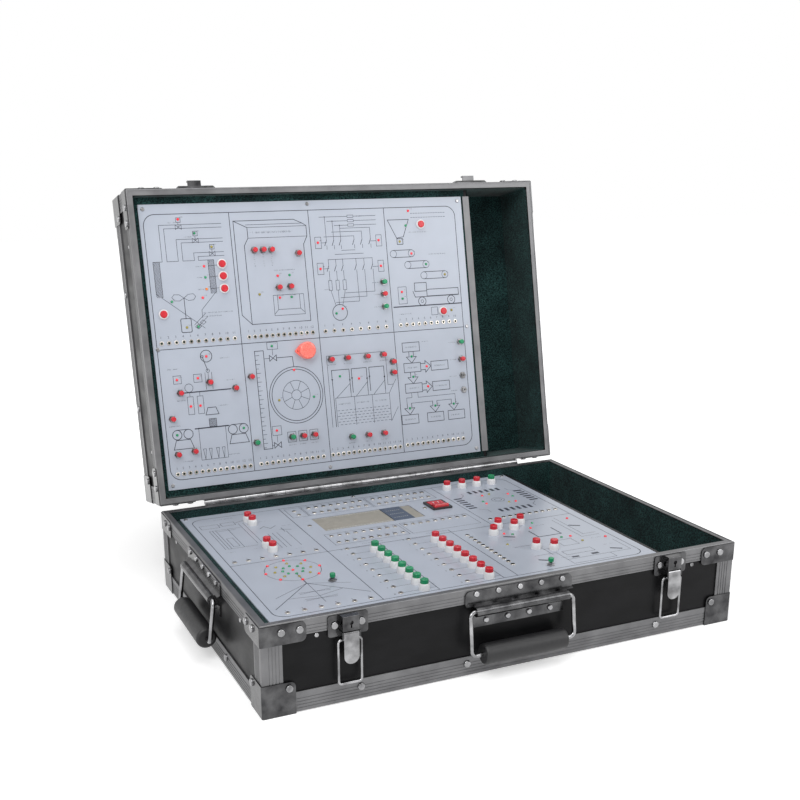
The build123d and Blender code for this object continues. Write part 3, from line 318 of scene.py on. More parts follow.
# Mesh helpers
def add_to_scene(thing):
    """Links an object to the scene."""
    bpy.context.scene.collection.objects.link(thing)


def round_places(x, y, radius, start, end, steps):
    """Places along an arc, in degrees, both ends included."""
    places = []
    for i in range(steps + 1):
        angle = math.radians(start + (end - start) * i / steps)
        places.append((x + radius * math.cos(angle), y + radius * math.sin(angle)))
    return places


def new_piece(name, points, faces, material, body, smooth=0.0):
    """A mesh object that rides on a body."""
    mesh = bpy.data.meshes.new(name)
    mesh.from_pydata(points, [], faces)
    mesh.materials.append(material)
    if smooth:
        mesh.polygons.foreach_set("use_smooth", [True] * len(mesh.polygons))
        mesh.set_sharp_from_angle(angle=math.radians(smooth))
    mesh.update()
    piece = bpy.data.objects.new(name, mesh)
    add_to_scene(piece)
    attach(piece, body)
    return piece


def piece_from(work, name, material, body, smooth=0.0):
    """A piece from a bmesh, which is freed."""
    work.verts.index_update()
    points = [v.co.copy() for v in work.verts]
    faces = [[v.index for v in f.verts] for f in work.faces]
    work.free()
    return new_piece(name, points, faces, material, body, smooth)


def body_of(node):
    """The body that a node belongs to."""
    bodies = frame["record"]["behaviour"]["bodies"]
    return next(body for body, members in bodies.items() if node in members)


def solids_of(node):
    """The separate solids of a node, in their order, each as points and faces."""
    work = bmesh.new()
    work.from_mesh(frame["nodes"][node].data)
    bmesh.ops.remove_doubles(work, verts=work.verts, dist=1e-6)
    work.verts.index_update()
    work.faces.index_update()
    seen = set()
    solids = []
    for first in work.verts:
        if first.index in seen:
            continue
        seen.add(first.index)
        members = [first]
        for vertex in members:
            for edge in vertex.link_edges:
                other = edge.other_vert(vertex)
                if other.index not in seen:
                    seen.add(other.index)
                    members.append(other)
        number = {vertex.index: i for i, vertex in enumerate(members)}
        faces = sorted({f for vertex in members for f in vertex.link_faces}, key=lambda f: f.index)
        solids.append((
            [vertex.co.copy() for vertex in members],
            [[number[v.index] for v in f.verts] for f in faces],
        ))
    work.free()
    return solids


def corners(points):
    """Lowest and highest corner of the box around some points."""
    low = Vector([min(p[i] for p in points) for i in range(3)])
    high = Vector([max(p[i] for p in points) for i in range(3)])
    return low, high


def middle(points):
    """The middle of the box around some points."""
    low, high = corners(points)
    return (low + high) / 2


def split(node, kinds, looks):
    """Replaces a node by pieces of its own solids, grouped by one letter for each solid."""
    solids = solids_of(node)
    if len(solids) != len(kinds):
        raise ValueError(f"{node} has {len(solids)} solids, not {len(kinds)}")
    for letter, (word, material) in looks.items():
        points = []
        faces = []
        for kind, (some_points, some_faces) in zip(kinds, solids):
            if kind == letter:
                start = len(points)
                points += some_points
                faces += [[start + i for i in face] for face in some_faces]
        if points:
            piece = new_piece(f"{node}_{word}", points, faces, material, body_of(node), part_smooth)
            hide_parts(node)
    return [middle(points) for points, _ in solids]


def dress(node, material, bevel=0.0):
    """Gives a node its material, and a small bevel on its sharp edges."""
    piece = frame["nodes"][node]
    piece.data.materials.clear()
    piece.data.materials.append(material)
    if bevel:
        modifier = piece.modifiers.new("edges", "BEVEL")
        modifier.width = bevel
        modifier.segments = 2
        modifier.limit_method = "ANGLE"
        modifier.angle_limit = math.radians(bevel_angle)


def shut_box(node):
    """Lowest and highest corner of a node of the lid when the lid is shut."""
    back = opened.inverted()
    return corners([back @ v.co for v in frame["nodes"][node].data.vertices])


# Places on the panels, from millimetres on their drawings
base_low, base_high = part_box("base_panel")
lid_low, lid_high = shut_box("lid_panel")


def base_at(x, y, lift):
    """A place on the base's panel."""
    return Vector((
        base_low.x + (x - base_origin[0]) * mm,
        base_low.y + (y - base_origin[1]) * mm,
        base_high.z + lift * mm,
    ))


def lid_at(x, y, lift):
    """A place on the open lid's panel."""
    return opened @ Vector((
        lid_low.x + (x - lid_origin[0]) * mm,
        lid_low.y + (y - lid_origin[1]) * mm,
        lid_low.z - lift * mm,
    ))


def base_place(point):
    """Where a point of the base's panel lies on its drawing."""
    return (point.x - base_low.x) / mm + base_origin[0], (point.y - base_low.y) / mm + base_origin[1]


def lid_place(point):
    """Where a point of the lid's panel lies on its drawing."""
    shut = opened.inverted() @ point
    return (shut.x - lid_low.x) / mm + lid_origin[0], (shut.y - lid_low.y) / mm + lid_origin[1]


def figure_outlines():
    """Flat shapes of the figures 0 to 9, as points and faces."""
    shapes = {}
    for figure in "0123456789":
        curve = bpy.data.curves.new("figure", "FONT")
        curve.body = figure
        curve.resolution_u = 3
        letter = bpy.data.objects.new("figure", curve)
        mesh = bpy.data.meshes.new_from_object(letter)
        shapes[figure] = ([v.co.copy() for v in mesh.vertices], [list(p.vertices) for p in mesh.polygons])
        bpy.data.objects.remove(letter)
        bpy.data.meshes.remove(mesh)
        bpy.data.curves.remove(curve)
    return shapes


figures = figure_outlines()


class Print:
    """Print on a panel, drawn in millimetres; up is the sign of the way to the drawing's top."""

    def __init__(self, at, up):
        self.at = at
        self.up = up
        self.points = []
        self.faces = []
        self.chance = random.Random(7)

    def area(self, places, lift=ink_lift):
        """A filled outline."""
        start = len(self.points)
        self.points += [self.at(x, y, lift) for x, y in places]
        order = list(range(start, len(self.points)))
        self.faces.append(order if self.up > 0 else order[::-1])

    def line(self, places, width=thin, closed=False):
        """Straight strokes from place to place."""
        ends = list(places[1:])
        starts = list(places[:-1])
        if closed:
            starts.append(places[-1])
            ends.append(places[0])
        for (ax, ay), (bx, by) in zip(starts, ends):
            length = math.hypot(bx - ax, by - ay)
            if length < 1e-6:
                continue
            ux = (bx - ax) / length * width / 2
            uy = (by - ay) / length * width / 2
            self.area([
                (ax - ux + uy, ay - uy - ux), (bx + ux + uy, by + uy - ux),
                (bx + ux - uy, by + uy + ux), (ax - ux - uy, ay - uy + ux),
            ])

    def stroke(self, x0, y0, x1, y1, width=thin):
        """One straight stroke."""
        self.line([(x0, y0), (x1, y1)], width)

    def lines(self, strokes, width=thin):
        """Several separate strokes."""
        for places in strokes:
            self.line(places, width)

    def box(self, x0, y0, x1, y1, width=thin):
        """A rectangle's outline."""
        self.line([(x0, y0), (x1, y0), (x1, y1), (x0, y1)], width, True)

    def block(self, x0, y0, x1, y1):
        """A filled rectangle."""
        self.area([(x0, y0), (x1, y0), (x1, y1), (x0, y1)])

    def arc(self, x, y, radius, start, end, width=thin, steps=24):
        """An arc, in degrees."""
        self.line(round_places(x, y, radius, start, end, steps), width)

    def circle(self, x, y, radius, width=thin):
        """A circle's outline."""
        self.arc(x, y, radius, 0, 360, width, max(16, int(radius * 3)))

    def disc(self, x, y, radius):
        """A filled circle."""
        self.area(round_places(x, y, radius, 0, 360, 20)[:-1])

    def frame(self, x0, y0, x1, y1, corner, width=medium):
        """A rectangle with round corners."""
        self.lines([
            [(x0 + corner, y0), (x1 - corner, y0)], [(x0 + corner, y1), (x1 - corner, y1)],
            [(x0, y0 + corner), (x0, y1 - corner)], [(x1, y0 + corner), (x1, y1 - corner)],
        ], width)
        self.arc(x0 + corner, y0 + corner, corner, 180, 270, width)
        self.arc(x1 - corner, y0 + corner, corner, 270, 360, width)
        self.arc(x1 - corner, y1 - corner, corner, 0, 90, width)
        self.arc(x0 + corner, y1 - corner, corner, 90, 180, width)

    def hatch(self, x0, y0, x1, y1, step=2.0):
        """Slanted hatching inside a rectangle."""
        width = x1 - x0
        height = y1 - y0
        offset = step - height
        while offset < width:
            low = max(0.0, -offset)
            high = min(height, width - offset)
            if high > low:
                self.line([(x0 + offset + low, y0 + low), (x0 + offset + high, y0 + high)])
            offset += step

    def number(self, x, y, value, height=figure_height):
        """A plain number, centred on a place."""
        text = str(value)
        size = height / 0.7
        step = size * 0.6
        left = x - step * len(text) / 2
        for i, figure in enumerate(text):
            points, faces = figures[figure]
            start = len(self.points)
            for point in points:
                place = (left + step * i + point.x * size, y + self.up * (point.y * size - height / 2))
                self.points.append(self.at(*place, ink_lift))
            self.faces += [[start + j for j in face] for face in faces]

    def valve(self, x, y, reach, rise, width=thin):
        """Two triangles, tip to tip."""
        self.line([
            (x - reach, y - rise), (x + reach, y + rise), (x + reach, y - rise), (x - reach, y + rise),
        ], width, True)

    def note(self, x, y, length, height=note_height):
        """A stretch of tiny marks where a caption is, which spells nothing."""
        reach = x
        while reach < x + length:
            wide = self.chance.uniform(0.35, 0.75)
            if self.chance.random() < 0.14:
                reach += 0.9
                continue
            kind = self.chance.randrange(4)
            bottom = y - self.up * height / 2
            top = y + self.up * height / 2
            if kind != 1:
                self.line([(reach, bottom), (reach, top)], hair)
            if kind != 2:
                self.line([(reach, y), (reach + wide, y)], hair)
            if kind == 3:
                self.line([(reach + wide, bottom), (reach + wide, y)], hair)
            reach += wide + 0.45

    def notes(self, places, length, before=0.0, height=note_height):
        """A note of the same length at each place, or starting a little before it."""
        for x, y in places:
            self.note(x - before, y, length, height)

    def arrow(self, x, y, turn, size=2.0):
        """A filled arrowhead with its tip at a place, pointing at an angle in degrees."""
        angle = math.radians(turn)
        along = (math.cos(angle), math.sin(angle))
        back = (x - along[0] * size, y - along[1] * size)
        across = (-along[1] * size * 0.35, along[0] * size * 0.35)
        self.area([
            (x, y), (back[0] + across[0], back[1] + across[1]), (back[0] - across[0], back[1] - across[1]),
        ])

    def finish(self, name, material, body):
        """Makes the piece."""
        return new_piece(name, self.points, self.faces, material, body)


# CAD nodes in their materials
def dress_nodes():
    """Materials and small bevels for the nodes that keep their CAD shape."""
    looks = [
        (black_laminate, board_bevel, "base_wall_boards lid_wall_boards base_floor_board lid_top_board"),
        (aluminium, trim_bevel, "base_rim lid_rim base_edge_trims lid_edge_trims"),
        (corner_steel, 0, "base_corner_caps lid_corner_caps latch_plates lid_catches handle_brackets"),
        (bright_steel, lever_bevel, "latch_lever_left latch_lever_right"),
        (bright_steel, 0, "base_rivets lid_rivets base_hinge_leaf lid_hinge_leaf"),
        (bright_steel, 0, "latch_bail_left latch_bail_right front_handle_bail side_handle_bail"),
        (pale_panel, 0, "base_panel lid_panel"),
        (nickel, 0, "base_sockets lid_sockets"),
        (green_board, 0, "base_circuit_board lid_circuit_board"),
        (beige_plastic, housing_bevel, "controller_module"),
        (dark_steel, housing_bevel, "power_supply"),
        (black_plastic, 0, "switch_body"),
        (buzzer_plastic_painted_glow, 0, "buzzer"),
        (grip_plastic, 0, "front_handle_grip side_handle_grip"),
        (red_plastic, 0, "rocker"),
    ]
    looks += [(green_plastic, 0, f"green_cap_{i}") for i in range(1, 9)]
    looks += [(red_plastic, 0, f"red_cap_{i}") for i in range(1, 9)]
    for material, bevel, nodes in looks:
        for node in nodes.split():
            dress(node, material, bevel)


def split_nodes():
    """Lights, collars and caps in their own colours; gives where the lid's lights are."""
    base_lamps = "ryrgryrg" + "rrrrr" + "ggg" + "yy" + "r" + "r" * 8 + "y" * 8 + "g" * 8
    lid_lamps = (
        "rgyrgorgyg" + "rgyrg" + "rrrrgr" + "rgyrgyrgy" + "rrrrrgg" + "grygr" + "gr" + "ggrrggg"
    )
    split("base_lights", base_lamps, lamp_looks)
    lamp_places = split("lid_lights", lid_lamps, lamp_looks)
    collars = {"w": ("collars", white_plastic), "n": ("nuts", bright_steel)}
    split("base_button_bodies", "w" * 30 + "n" * 2, collars)
    split("lid_button_bodies", "w" * 6 + "n" * 33, collars)
    caps = {"r": ("red", red_plastic), "g": ("green", green_plastic)}
    split("base_button_caps", "r" * 7 + "g" + "r" * 6 + "g" * 2, caps)
    small = "r" * 6 + "grg" + "r" * 6 + "rggrr" + "r" * 6 + "grr" + "gr"
    split("lid_button_caps", "r" * 6 + small, caps)
    return lamp_places


# Velvet over the inside of the case
def pile_at(here):
    """The pile's height at a place, in soft waves."""
    return pile_height + noise.noise(here * waves_a_metre) * pile_wave


def velvet_walls(name, half_x, half_y, low, high, place, body):
    """Flock on the inner faces of the four walls, in one band with round corners and upright seams."""
    path = []
    for x, y, start in ((1, 1, 0), (-1, 1, 90), (-1, -1, 180), (1, -1, 270)):
        for i in range(bend_steps + 1):
            angle = math.radians(start + 90 / bend_steps * i)
            along = Vector((math.cos(angle), math.sin(angle)))
            middle_of_bend = Vector((x * (half_x - bend_radius), y * (half_y - bend_radius)))
            path.append((middle_of_bend + along * bend_radius, along))
    stops = []
    for i, (place_a, way_a) in enumerate(path):
        place_b, way_b = path[(i + 1) % len(path)]
        steps = max(1, round((place_b - place_a).length / cell))
        for k in range(steps):
            share = k / steps
            stops.append((place_a.lerp(place_b, share), way_a.lerp(way_b, share).normalized()))
    rows = max(2, round((high - low) / cell))
    points = []
    for j in range(rows + 1):
        for spot, way in stops:
            z = low + (high - low) * j / rows
            here = Vector((spot.x, spot.y, z))
            pile = pile_at(here)
            if spot.x > half_x - bend_radius and any(abs(spot.y - seam) < cell / 2 for seam in wall_seams):
                pile = seam_pile
            points.append(place @ Vector((spot.x - way.x * pile, spot.y - way.y * pile, z)))
    count = len(stops)
    faces = []
    for j in range(rows):
        for i in range(count):
            after = (i + 1) % count
            faces.append((j * count + i, (j + 1) * count + i, (j + 1) * count + after, j * count + after))
    piece = new_piece(name, points, faces, teal_velvet, body, velvet_smooth)
    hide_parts(f"{body}_lining")


def steps_between(start, end, breaks=()):
    """Places from start to end, a cell apart, that also meet the breaks."""
    marks = sorted({start, end, *breaks})
    places = []
    for first, last in zip(marks[:-1], marks[1:]):
        count = max(1, math.ceil((last - first) / cell))
        places += [first + (last - first) * i / count for i in range(count)]
    return places + [end]


def velvet_face(name, at, us, vs, body, hole=None):
    """Flock on a flat face; at turns u, v and a height into a place, and a hole in it stays open."""
    points = []
    for v in vs:
        for u in us:
            on_edge = u in (us[0], us[-1]) or v in (vs[0], vs[-1])
            here = at(u, v, 0)
            points.append(at(u, v, edge_pile if on_edge else pile_at(here)))
    faces = []
    columns = len(us)
    for j in range(len(vs) - 1):
        for i in range(columns - 1):
            u = (us[i] + us[i + 1]) / 2
            v = (vs[j] + vs[j + 1]) / 2
            if hole and hole[0] < u < hole[1] and hole[2] < v < hole[3]:
                continue
            first = j * columns + i
            faces.append((first, first + 1, first + columns + 1, first + columns))
    piece = new_piece(name, points, faces, teal_velvet, body, velvet_smooth)
    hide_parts(f"{body}_lining")


def base_velvet():
    """Every sheet of the base, over the CAD's lining."""
    lining_low, lining_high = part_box("base_lining")
    half_x = lining_high.x - lining
    half_y = lining_high.y - lining
    still = Matrix.Identity(4)
    velvet_walls("base_velvet_walls", half_x, half_y, lining_low.z, lining_high.z, still, "base")
    floor = lining_low.z + lining
    divider = base_high.x + base_divider_gap
    ledge = base_low.z
    top = base_high.z
    ys = steps_between(-half_y, half_y)
    velvet_face(
        "base_velvet_floor", lambda u, v, lift: Vector((u, v, floor + lift)),
        steps_between(divider, half_x), ys, "base",
    )
    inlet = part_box("power_supply")[1].x
    mouth = (
        (inlet_middle - inlet_half_width) * mm, (inlet_middle + inlet_half_width) * mm,
        floor - lining + inlet_bottom * mm, floor - lining + inlet_top * mm,
    )
    velvet_face(
        "base_velvet_divider", lambda u, v, lift: Vector((divider + lift, u, v)),
        steps_between(-half_y, half_y, mouth[:2]), steps_between(floor, top, mouth[2:]),
        "base", mouth if inlet > divider else None,
    )
    velvet_face(
        "base_velvet_ledge", lambda u, v, lift: Vector((u, v, ledge + lift)),
        steps_between(-half_x, base_low.x + under_panel), ys, "base",
    )


def lid_velvet():
    """Every sheet of the lid, over the CAD's lining."""
    shut_low, shut_high = shut_box("lid_lining")
    half_x = shut_high.x - lining
    half_y = shut_high.y - lining
    velvet_walls("lid_velvet_walls", half_x, half_y, shut_low.z, shut_high.z, opened, "lid")
    back = shut_high.z - lining
    divider = lid_high.x + lid_divider_gap
    ledge = lid_high.z
    ys = steps_between(-half_y, half_y)
    velvet_face(
        "lid_velvet_back", lambda u, v, lift: opened @ Vector((u, v, back - lift)),
        steps_between(divider, half_x), ys, "lid",
    )
    velvet_face(
        "lid_velvet_divider", lambda u, v, lift: opened @ Vector((divider + lift, v, u)),
        steps_between(lid_high.z, back), ys, "lid",
    )
    margins = {
        "left": (-half_x, lid_low.x + under_panel, -half_y, half_y),
        "right": (lid_high.x - under_panel, lid_high.x + lid_end_ledge, -half_y, half_y),
        "front": (lid_low.x, lid_high.x, -half_y, lid_low.y + under_panel),
        "back": (lid_low.x, lid_high.x, lid_high.y - under_panel, half_y),
    }
    for side, (x0, x1, y0, y1) in margins.items():
        velvet_face(
            f"lid_velvet_{side}_ledge", lambda u, v, lift: opened @ Vector((u, v, ledge - lift)),
            steps_between(x0, x1), steps_between(y0, y1), "lid",
        )


# Small parts on the panels
def add_box(work, low, high, bevel):
    """A box with rounded edges."""
    made = bmesh.ops.create_cube(work, size=1)["verts"]
    size = high - low
    centre = (high + low) / 2
    for vertex in made:
        vertex.co = Vector([vertex.co[i] * size[i] + centre[i] for i in range(3)])
    edges = list({edge for vertex in made for edge in vertex.link_edges})
    bmesh.ops.bevel(work, geom=edges, offset=bevel, segments=2, affect="EDGES", profile=0.6)


def module_boxes(name, places, low, high, material):
    """Low boxes on the controller's face, given on the base's drawing; heights are over the panel."""
    work = bmesh.new()
    for x0, y0, x1, y1 in places:
        add_box(work, base_at(x0, y0, low), base_at(x1, y1, high), trim_bevel)
    piece_from(work, name, material, "base", module_smooth)


def controller_face():
    """The covers, terminals and lamps of the controller in the panel's window."""
    for name, x0, x1, top, material in (
        ("covers", 179.6, 276.6, -0.5, beige_plastic),
        ("screen", 277.2, 305.8, 0.2, slate_plastic),
        ("end", 306.4, 320.4, -0.6, beige_plastic),
    ):
        module_boxes(f"controller_{name}", [(x0, module_front, x1, module_back)], -2.0, top, material)
    terminals = []
    for i in range(22):
        x = 183 + i * terminal_pitch
        terminals.append((x, 277.2, x + terminal_size, 280.4))
        terminals.append((x, 322.6, x + terminal_size, 325.8))
    module_boxes("controller_terminals", terminals, -0.6, -0.2, pale_grey_plastic)
    lamps = [(281 + i * 3, y, 282.6 + i * 3, y + 1.2) for i in range(7) for y in (286, 300, 314)]
    module_boxes("controller_lamps", lamps, 0.1, 0.4, pale_grey_plastic)


def rocker_marks():
    """The two raised marks on the rocker's halves, laid on its surface."""
    mesh = frame["nodes"]["rocker"].data
    surface = BVHTree.FromPolygons([v.co for v in mesh.vertices], [p.vertices for p in mesh.polygons])
    low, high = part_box("rocker")
    centre = (low + high) / 2
    reach = (high.y - low.y) / 2
    from_middle = 3.6 * mm
    bar_half_width = 0.6 * mm
    bar_half_length = 2.6 * mm
    ring_radius = 1.4 * mm
    ring_stretch = 1.5
    ring_pen = 0.3 * mm
    ring_strokes = 20
    points = []
    faces = []

    def stroke(x0, y0, x1, y1):
        start = len(points)
        for x, y in ((x0, y0), (x1, y0), (x1, y1), (x0, y1)):
            hit = surface.ray_cast(Vector((x, y, high.z + 1)), Vector((0, 0, -1)))[0]
            points.append(hit + Vector((0, 0, 0.12 * mm)))
        faces.append(tuple(range(start, start + 4)))

    far = centre.y + reach * 0.5
    for side in (-1, 1):
        x = centre.x + side * from_middle
        stroke(x - bar_half_width, far - bar_half_length, x + bar_half_width, far + bar_half_length)
    near = centre.y - reach * 0.5
    for side in (-1, 1):
        for i in range(ring_strokes):
            angle = math.tau * i / ring_strokes
            x = centre.x + side * from_middle + math.cos(angle) * ring_radius
            y = near + math.sin(angle) * ring_radius * ring_stretch
            stroke(x - ring_pen, y - ring_pen, x + ring_pen, y + ring_pen)
    new_piece("rocker_marks", points, faces, white_plastic, "rocker")


# The diagrams
def rows_of_numbers(pen, places, rise):
    """A plain number beside each socket."""
    for i, (x, y) in enumerate(places):
        pen.number(x, y + rise, i % 16 + 1)


def lid_tank(pen):
    """The mixing tank with its pipes and valves."""
    pipes = ((45, 49.7, 39.9, 46.3), (64, 68.5, 61.3, 67.5), (82, 87, 83, 88.5))
    for upper, lower, outer, inner in pipes:
        pen.lines([[(outer, 92), (outer, upper), (124, upper)], [(inner, 92), (inner, lower), (124, lower)]])
    for x, y in ((66, 48), (87, 66), (108, 84)):
        pen.valve(x, y, 4, 3)
        pen.box(x - 2.6, y - 12, x + 3.4, y - 6)
        pen.stroke(x, y - 6, x, y)
    for x0, x1 in ((27.5, 39.9), (46.3, 61.3), (67.5, 83), (88.5, 109)):
        pen.stroke(x0, 92, x1, 92)
    pen.line([(27.5, 92), (27.5, 133), (88, 181)])
    pen.stroke(36, 92, 36, 138)
    pen.line([(109, 92), (109, 133), (86, 157), (86, 167)])
    pen.lines([[(101, 92), (101, 136)], [(77, 180), (93, 166)], [(74, 176), (90, 162)]])
    pen.hatch(27.5, 92, 36, 138)
    pen.hatch(101, 92, 109, 136)
    for side in (-1, 1):
        pen.line([
            (63.5, 140), (63.5 + side * 6, 135.5), (63.5 + side * 13, 135), (63.5 + side * 16, 138.5),
            (63.5 + side * 13, 143), (63.5 + side * 6, 143.5), (63.5, 140),
        ])
    pen.stroke(63.5, 140, 63.5, 167, medium)
    pen.frame(56, 167, 70, 185, 2, medium)
    for x, y in ((79, 178.5), (86, 173)):
        pen.line([(x - 4, y), (x, y - 3), (x + 4, y), (x, y + 3)], thin, True)
    for y in (100, 114.5, 130):
        pen.stroke(101, y, 114, y - 1)
        pen.note(84, y, 7)
    pen.note(88, 161, 40)
    pen.note(88, 165.5, 24)
    pen.note(52, 42, 10)
    pen.note(72, 61, 10)


def lid_cabinet(pen):
    """The vending cabinet."""
    pen.line([
        (140.9, 42.6), (226.3, 42.6), (238.4, 48.1), (243.9, 51.4), (243.9, 65.7), (238.1, 76.4),
        (238.1, 180.7), (153.4, 180.7), (153.4, 75.7), (159.4, 65.7), (159.4, 51.7), (140.9, 42.6),
    ], medium)
    pen.line([(140.9, 42.6), (140.6, 167.5), (153.9, 181)], medium)
    pen.lines([[(157.7, 48.1), (238.4, 48.1)], [(159.4, 51.7), (243, 51.7)], [(159.4, 65.7), (243.9, 65.7)]])
    pen.box(187, 143.5, 231, 171)
    pen.line([(193, 143.5), (193, 163), (225, 163), (225, 143.5)])
    pen.lines([[(193, 163), (187, 169)], [(225, 163), (231, 169)]])
    for x in (166, 178.4, 190.3):
        for y in range(88, 104, 3):
            pen.note(x - 0.6, y, 1.2)
    pen.note(163, 58.5, 60, 2.6)
    pen.note(192, 110, 30)


def lid_motor_circuit(pen):
    """Supply lines, contacts, coils and the motor."""
    for y, x in ((41, 272), (47, 283), (53, 293.5)):
        pen.stroke(x - 8, y, 306, y)
        pen.box(306, y - 1.6, 315, y + 1.6)
        pen.stroke(315, y, 349, y)
        pen.stroke(x, y, x, 73)
        pen.disc(x, y, 0.9)
    for y, x in ((57, 338.6), (61.8, 325.7), (68, 313.6)):
        pen.line([(x - 45, y), (x, y), (x, 73)])
    for x in (272, 283, 293.5, 313.6, 325.7, 338.6):
        for y in (73, 108):
            pen.stroke(x, y, x - 3, y + 7, medium)
            pen.stroke(x, y + 7, x, y + 12)
        pen.stroke(x, 99, x, 108)
    for y, x0, x1 in ((87.3, 293.5, 313.6), (92.5, 283, 325.7), (99.3, 272, 338.6)):
        pen.stroke(x0, y, x1, y)
    for y0, y1 in ((68, 83.5), (103.5, 119)):
        pen.box(255, y0, 264, y1)
        pen.box(347, y0, 355.5, y1)
        pen.lines([[(264, y0 + 8), (272, y0 + 8)], [(338.6, y0 + 8), (347, y0 + 8)]])
    for x in (272, 283, 293.5):
        pen.stroke(x, 120, x, 128)
        pen.box(x - 2.4, 128, x + 2.4, 141.5)
        pen.line([(x, 141.5), (x + (282.7 - x) * 0.5, 162)])
    for y, x in ((146, 338.6), (152.3, 325.7), (158.5, 313.6)):
        pen.line([(x, 120), (x, y), (293.5 - (y - 146) * 1.2, y)])
    pen.circle(282.7, 172.5, 11, medium)
    pen.note(319, 41, 12)
    pen.note(262, 140, 8)
    pen.notes([(336, 134), (336, 150.7), (336, 168.3)], 9)


def lid_conveyor(pen):
    """Hopper, belts, signals and the truck."""
    pen.line([(367, 48), (400, 48), (390, 72), (379.3, 73.6)], medium, True)
    pen.box(379.5, 74.5, 388.5, 82.5, medium)
    for x0, x1, y in ((372, 400.5, 95.7), (393.3, 422.3, 112), (417.5, 451.4, 127.8)):
        pen.circle(x0, y, 5)
        pen.circle(x1, y, 5)
        pen.lines([[(x0, y - 5), (x1, y - 5)], [(x0, y + 5), (x1, y + 5)]], medium)
    for i in range(14):
        x = 404 + i * 4
        pen.stroke(x, 39.7, x + 2.4, 39.7)
        pen.stroke(x, 45.5, x + 2.4, 45.5)
    pen.box(374.5, 142.5, 387.5, 166.5)
    pen.box(401, 138, 420, 150, medium)
    pen.box(420, 148, 471, 157.5, medium)
    pen.line([(398, 150), (401, 158), (471, 158)], medium)
    for x in (411.5, 458.4):
        pen.circle(x, 164.4, 6, medium)
        pen.circle(x, 164.4, 2)
    pen.stroke(366, 170.5, 475, 170.5, thick)
    pen.box(425, 174, 435, 185)
    pen.note(398, 66, 30)
    pen.note(428, 98, 26)
    pen.note(372, 181, 20)


def lid_machine(pen):
    """The crank, cylinders and rollers of the material line."""
    pen.circle(85, 218, 7.9, medium)
    pen.circle(79.5, 218.3, 1.6)
    pen.circle(85.2, 237.4, 2.3)
    pen.stroke(79.5, 218.3, 85.2, 237.4, medium)
    pen.lines([[(81, 240), (81, 262)], [(90, 240), (90, 262)], [(85.2, 239.7), (85.2, 252)]])
    pen.line([(76.5, 296), (94.5, 296), (91, 286.5), (80, 286.5)], medium, True)
    for x0, x1 in ((37.5, 48), (65, 76)):
        pen.box(x0, 241, x1, 251.5)
    pen.circle(57.2, 258.2, 5.5)
    pen.stroke(50, 264.2, 114, 264.2, thick)
    for x0, x1 in ((53.5, 61.5), (67, 75)):
        pen.box(x0, 270, x1, 293.5)
        pen.line([((x0 + x1) / 2, 264), ((x0 + x1) / 2, 270)])
    for x0, x1 in ((34.8, 50), (111.3, 126.7)):
        pen.circle(x0, 318.8, 6.3, medium)
        pen.circle(x1, 318.8, 6.3, medium)
        pen.line([(x0 - 6, 338), (x1 + 6, 338), (x1 + 2, 326), (x0 - 2, 326)], medium, True)
        pen.stroke(x0, 312.4, x1, 312.4, medium)
    pen.box(80, 301.5, 90, 312)
    pen.hatch(80, 301.5, 90, 312, 1.6)
    pen.box(64.5, 313, 101.5, 355.5)
    pen.stroke(60, 313, 106, 313, thick)
    for x in (70, 78, 88, 96):
        pen.line([(x, 355.5), (x - 2, 341), (x + 2, 341)], thin, True)
    pen.notes([
        (44.9, 274), (30.6, 307), (112, 252), (100, 285), (36, 232), (108, 222), (44, 355), (108, 352),
    ], 14, 5)


def lid_washer(pen):
    """The gauge, the valves and the drum."""
    pen.box(152.5, 217, 165, 351, medium)
    for i in range(22):
        pen.stroke(152.5, 223 + i * 6, 156 if i % 2 else 158.5, 223 + i * 6)
    for x, y in ((178, 228), (173, 347)):
        pen.valve(x, y, 5, 4, medium)
        pen.stroke(165, y, x - 5, y)
    pen.box(171, 206.5, 186, 216)
    pen.box(167, 321, 180, 333.5)
    pen.stroke(178, 216, 178, 224)
    pen.stroke(173, 333.5, 173, 343)
    pen.line([(183, 228), (206, 228), (206.7, 242)], medium)
    for radius in (38.9, 35.4, 20, 7):
        pen.circle(206.7, 281, radius, medium if radius > 30 else thin)
    for i in range(8):
        angle = math.tau * (i + 0.5) / 8
        ways = math.cos(angle), math.sin(angle)
        pen.line([(206.7 + ways[0] * 7, 281 + ways[1] * 7), (206.7 + ways[0] * 20, 281 + ways[1] * 20)])
    for x in (194.4, 210.6, 227):
        pen.box(x - 6, 331, x + 6, 345)
        pen.note(x - 5, 349, 10)


def lid_pool(pen):
    """The three tanks of the pool."""
    pen.lines([[(256, 231.5), (256, 331)], [(256, 231.5), (346, 231.5)]])
    pen.line([(346, 231.5), (346, 279), (354, 279)])
    for x0, x1 in ((261.5, 288), (291.5, 314.5), (318.5, 341.5)):
        pen.line([(x0, 252), (x1, 252), (x1, 285)], medium)
        pen.stroke(x0, 252, x0, 331 if x0 < 262 else 285, medium)
        pen.line([(x0 + 4, 291), (x1, 272), (x1, 291)])
        pen.arrow(x0, 268, 90, 4)
        pen.arrow(x1, 264, 270, 4)
    pen.lines([[(264, 291), (347, 291)], [(347, 291), (359, 272)], [(347, 331), (359, 312)]])
    pen.lines([[(x, 291), (x, 331)] for x in (264, 292.5, 320, 347)])
    for j in range(6):
        for i in range(13):
            x = 265.5 + i * 6.2 + (j % 2) * 3
            pen.stroke(x, 309 + j * 4, x + 3.2, 309 + j * 4)
    pen.notes([(x, 300) for x in (268, 296, 323)], 18, height=2)
    pen.notes([(x, 244) for x in (262, 286, 316, 342)], 12, 5)
    pen.notes([(x, 356) for x in (283, 308, 333)], 10, 5)


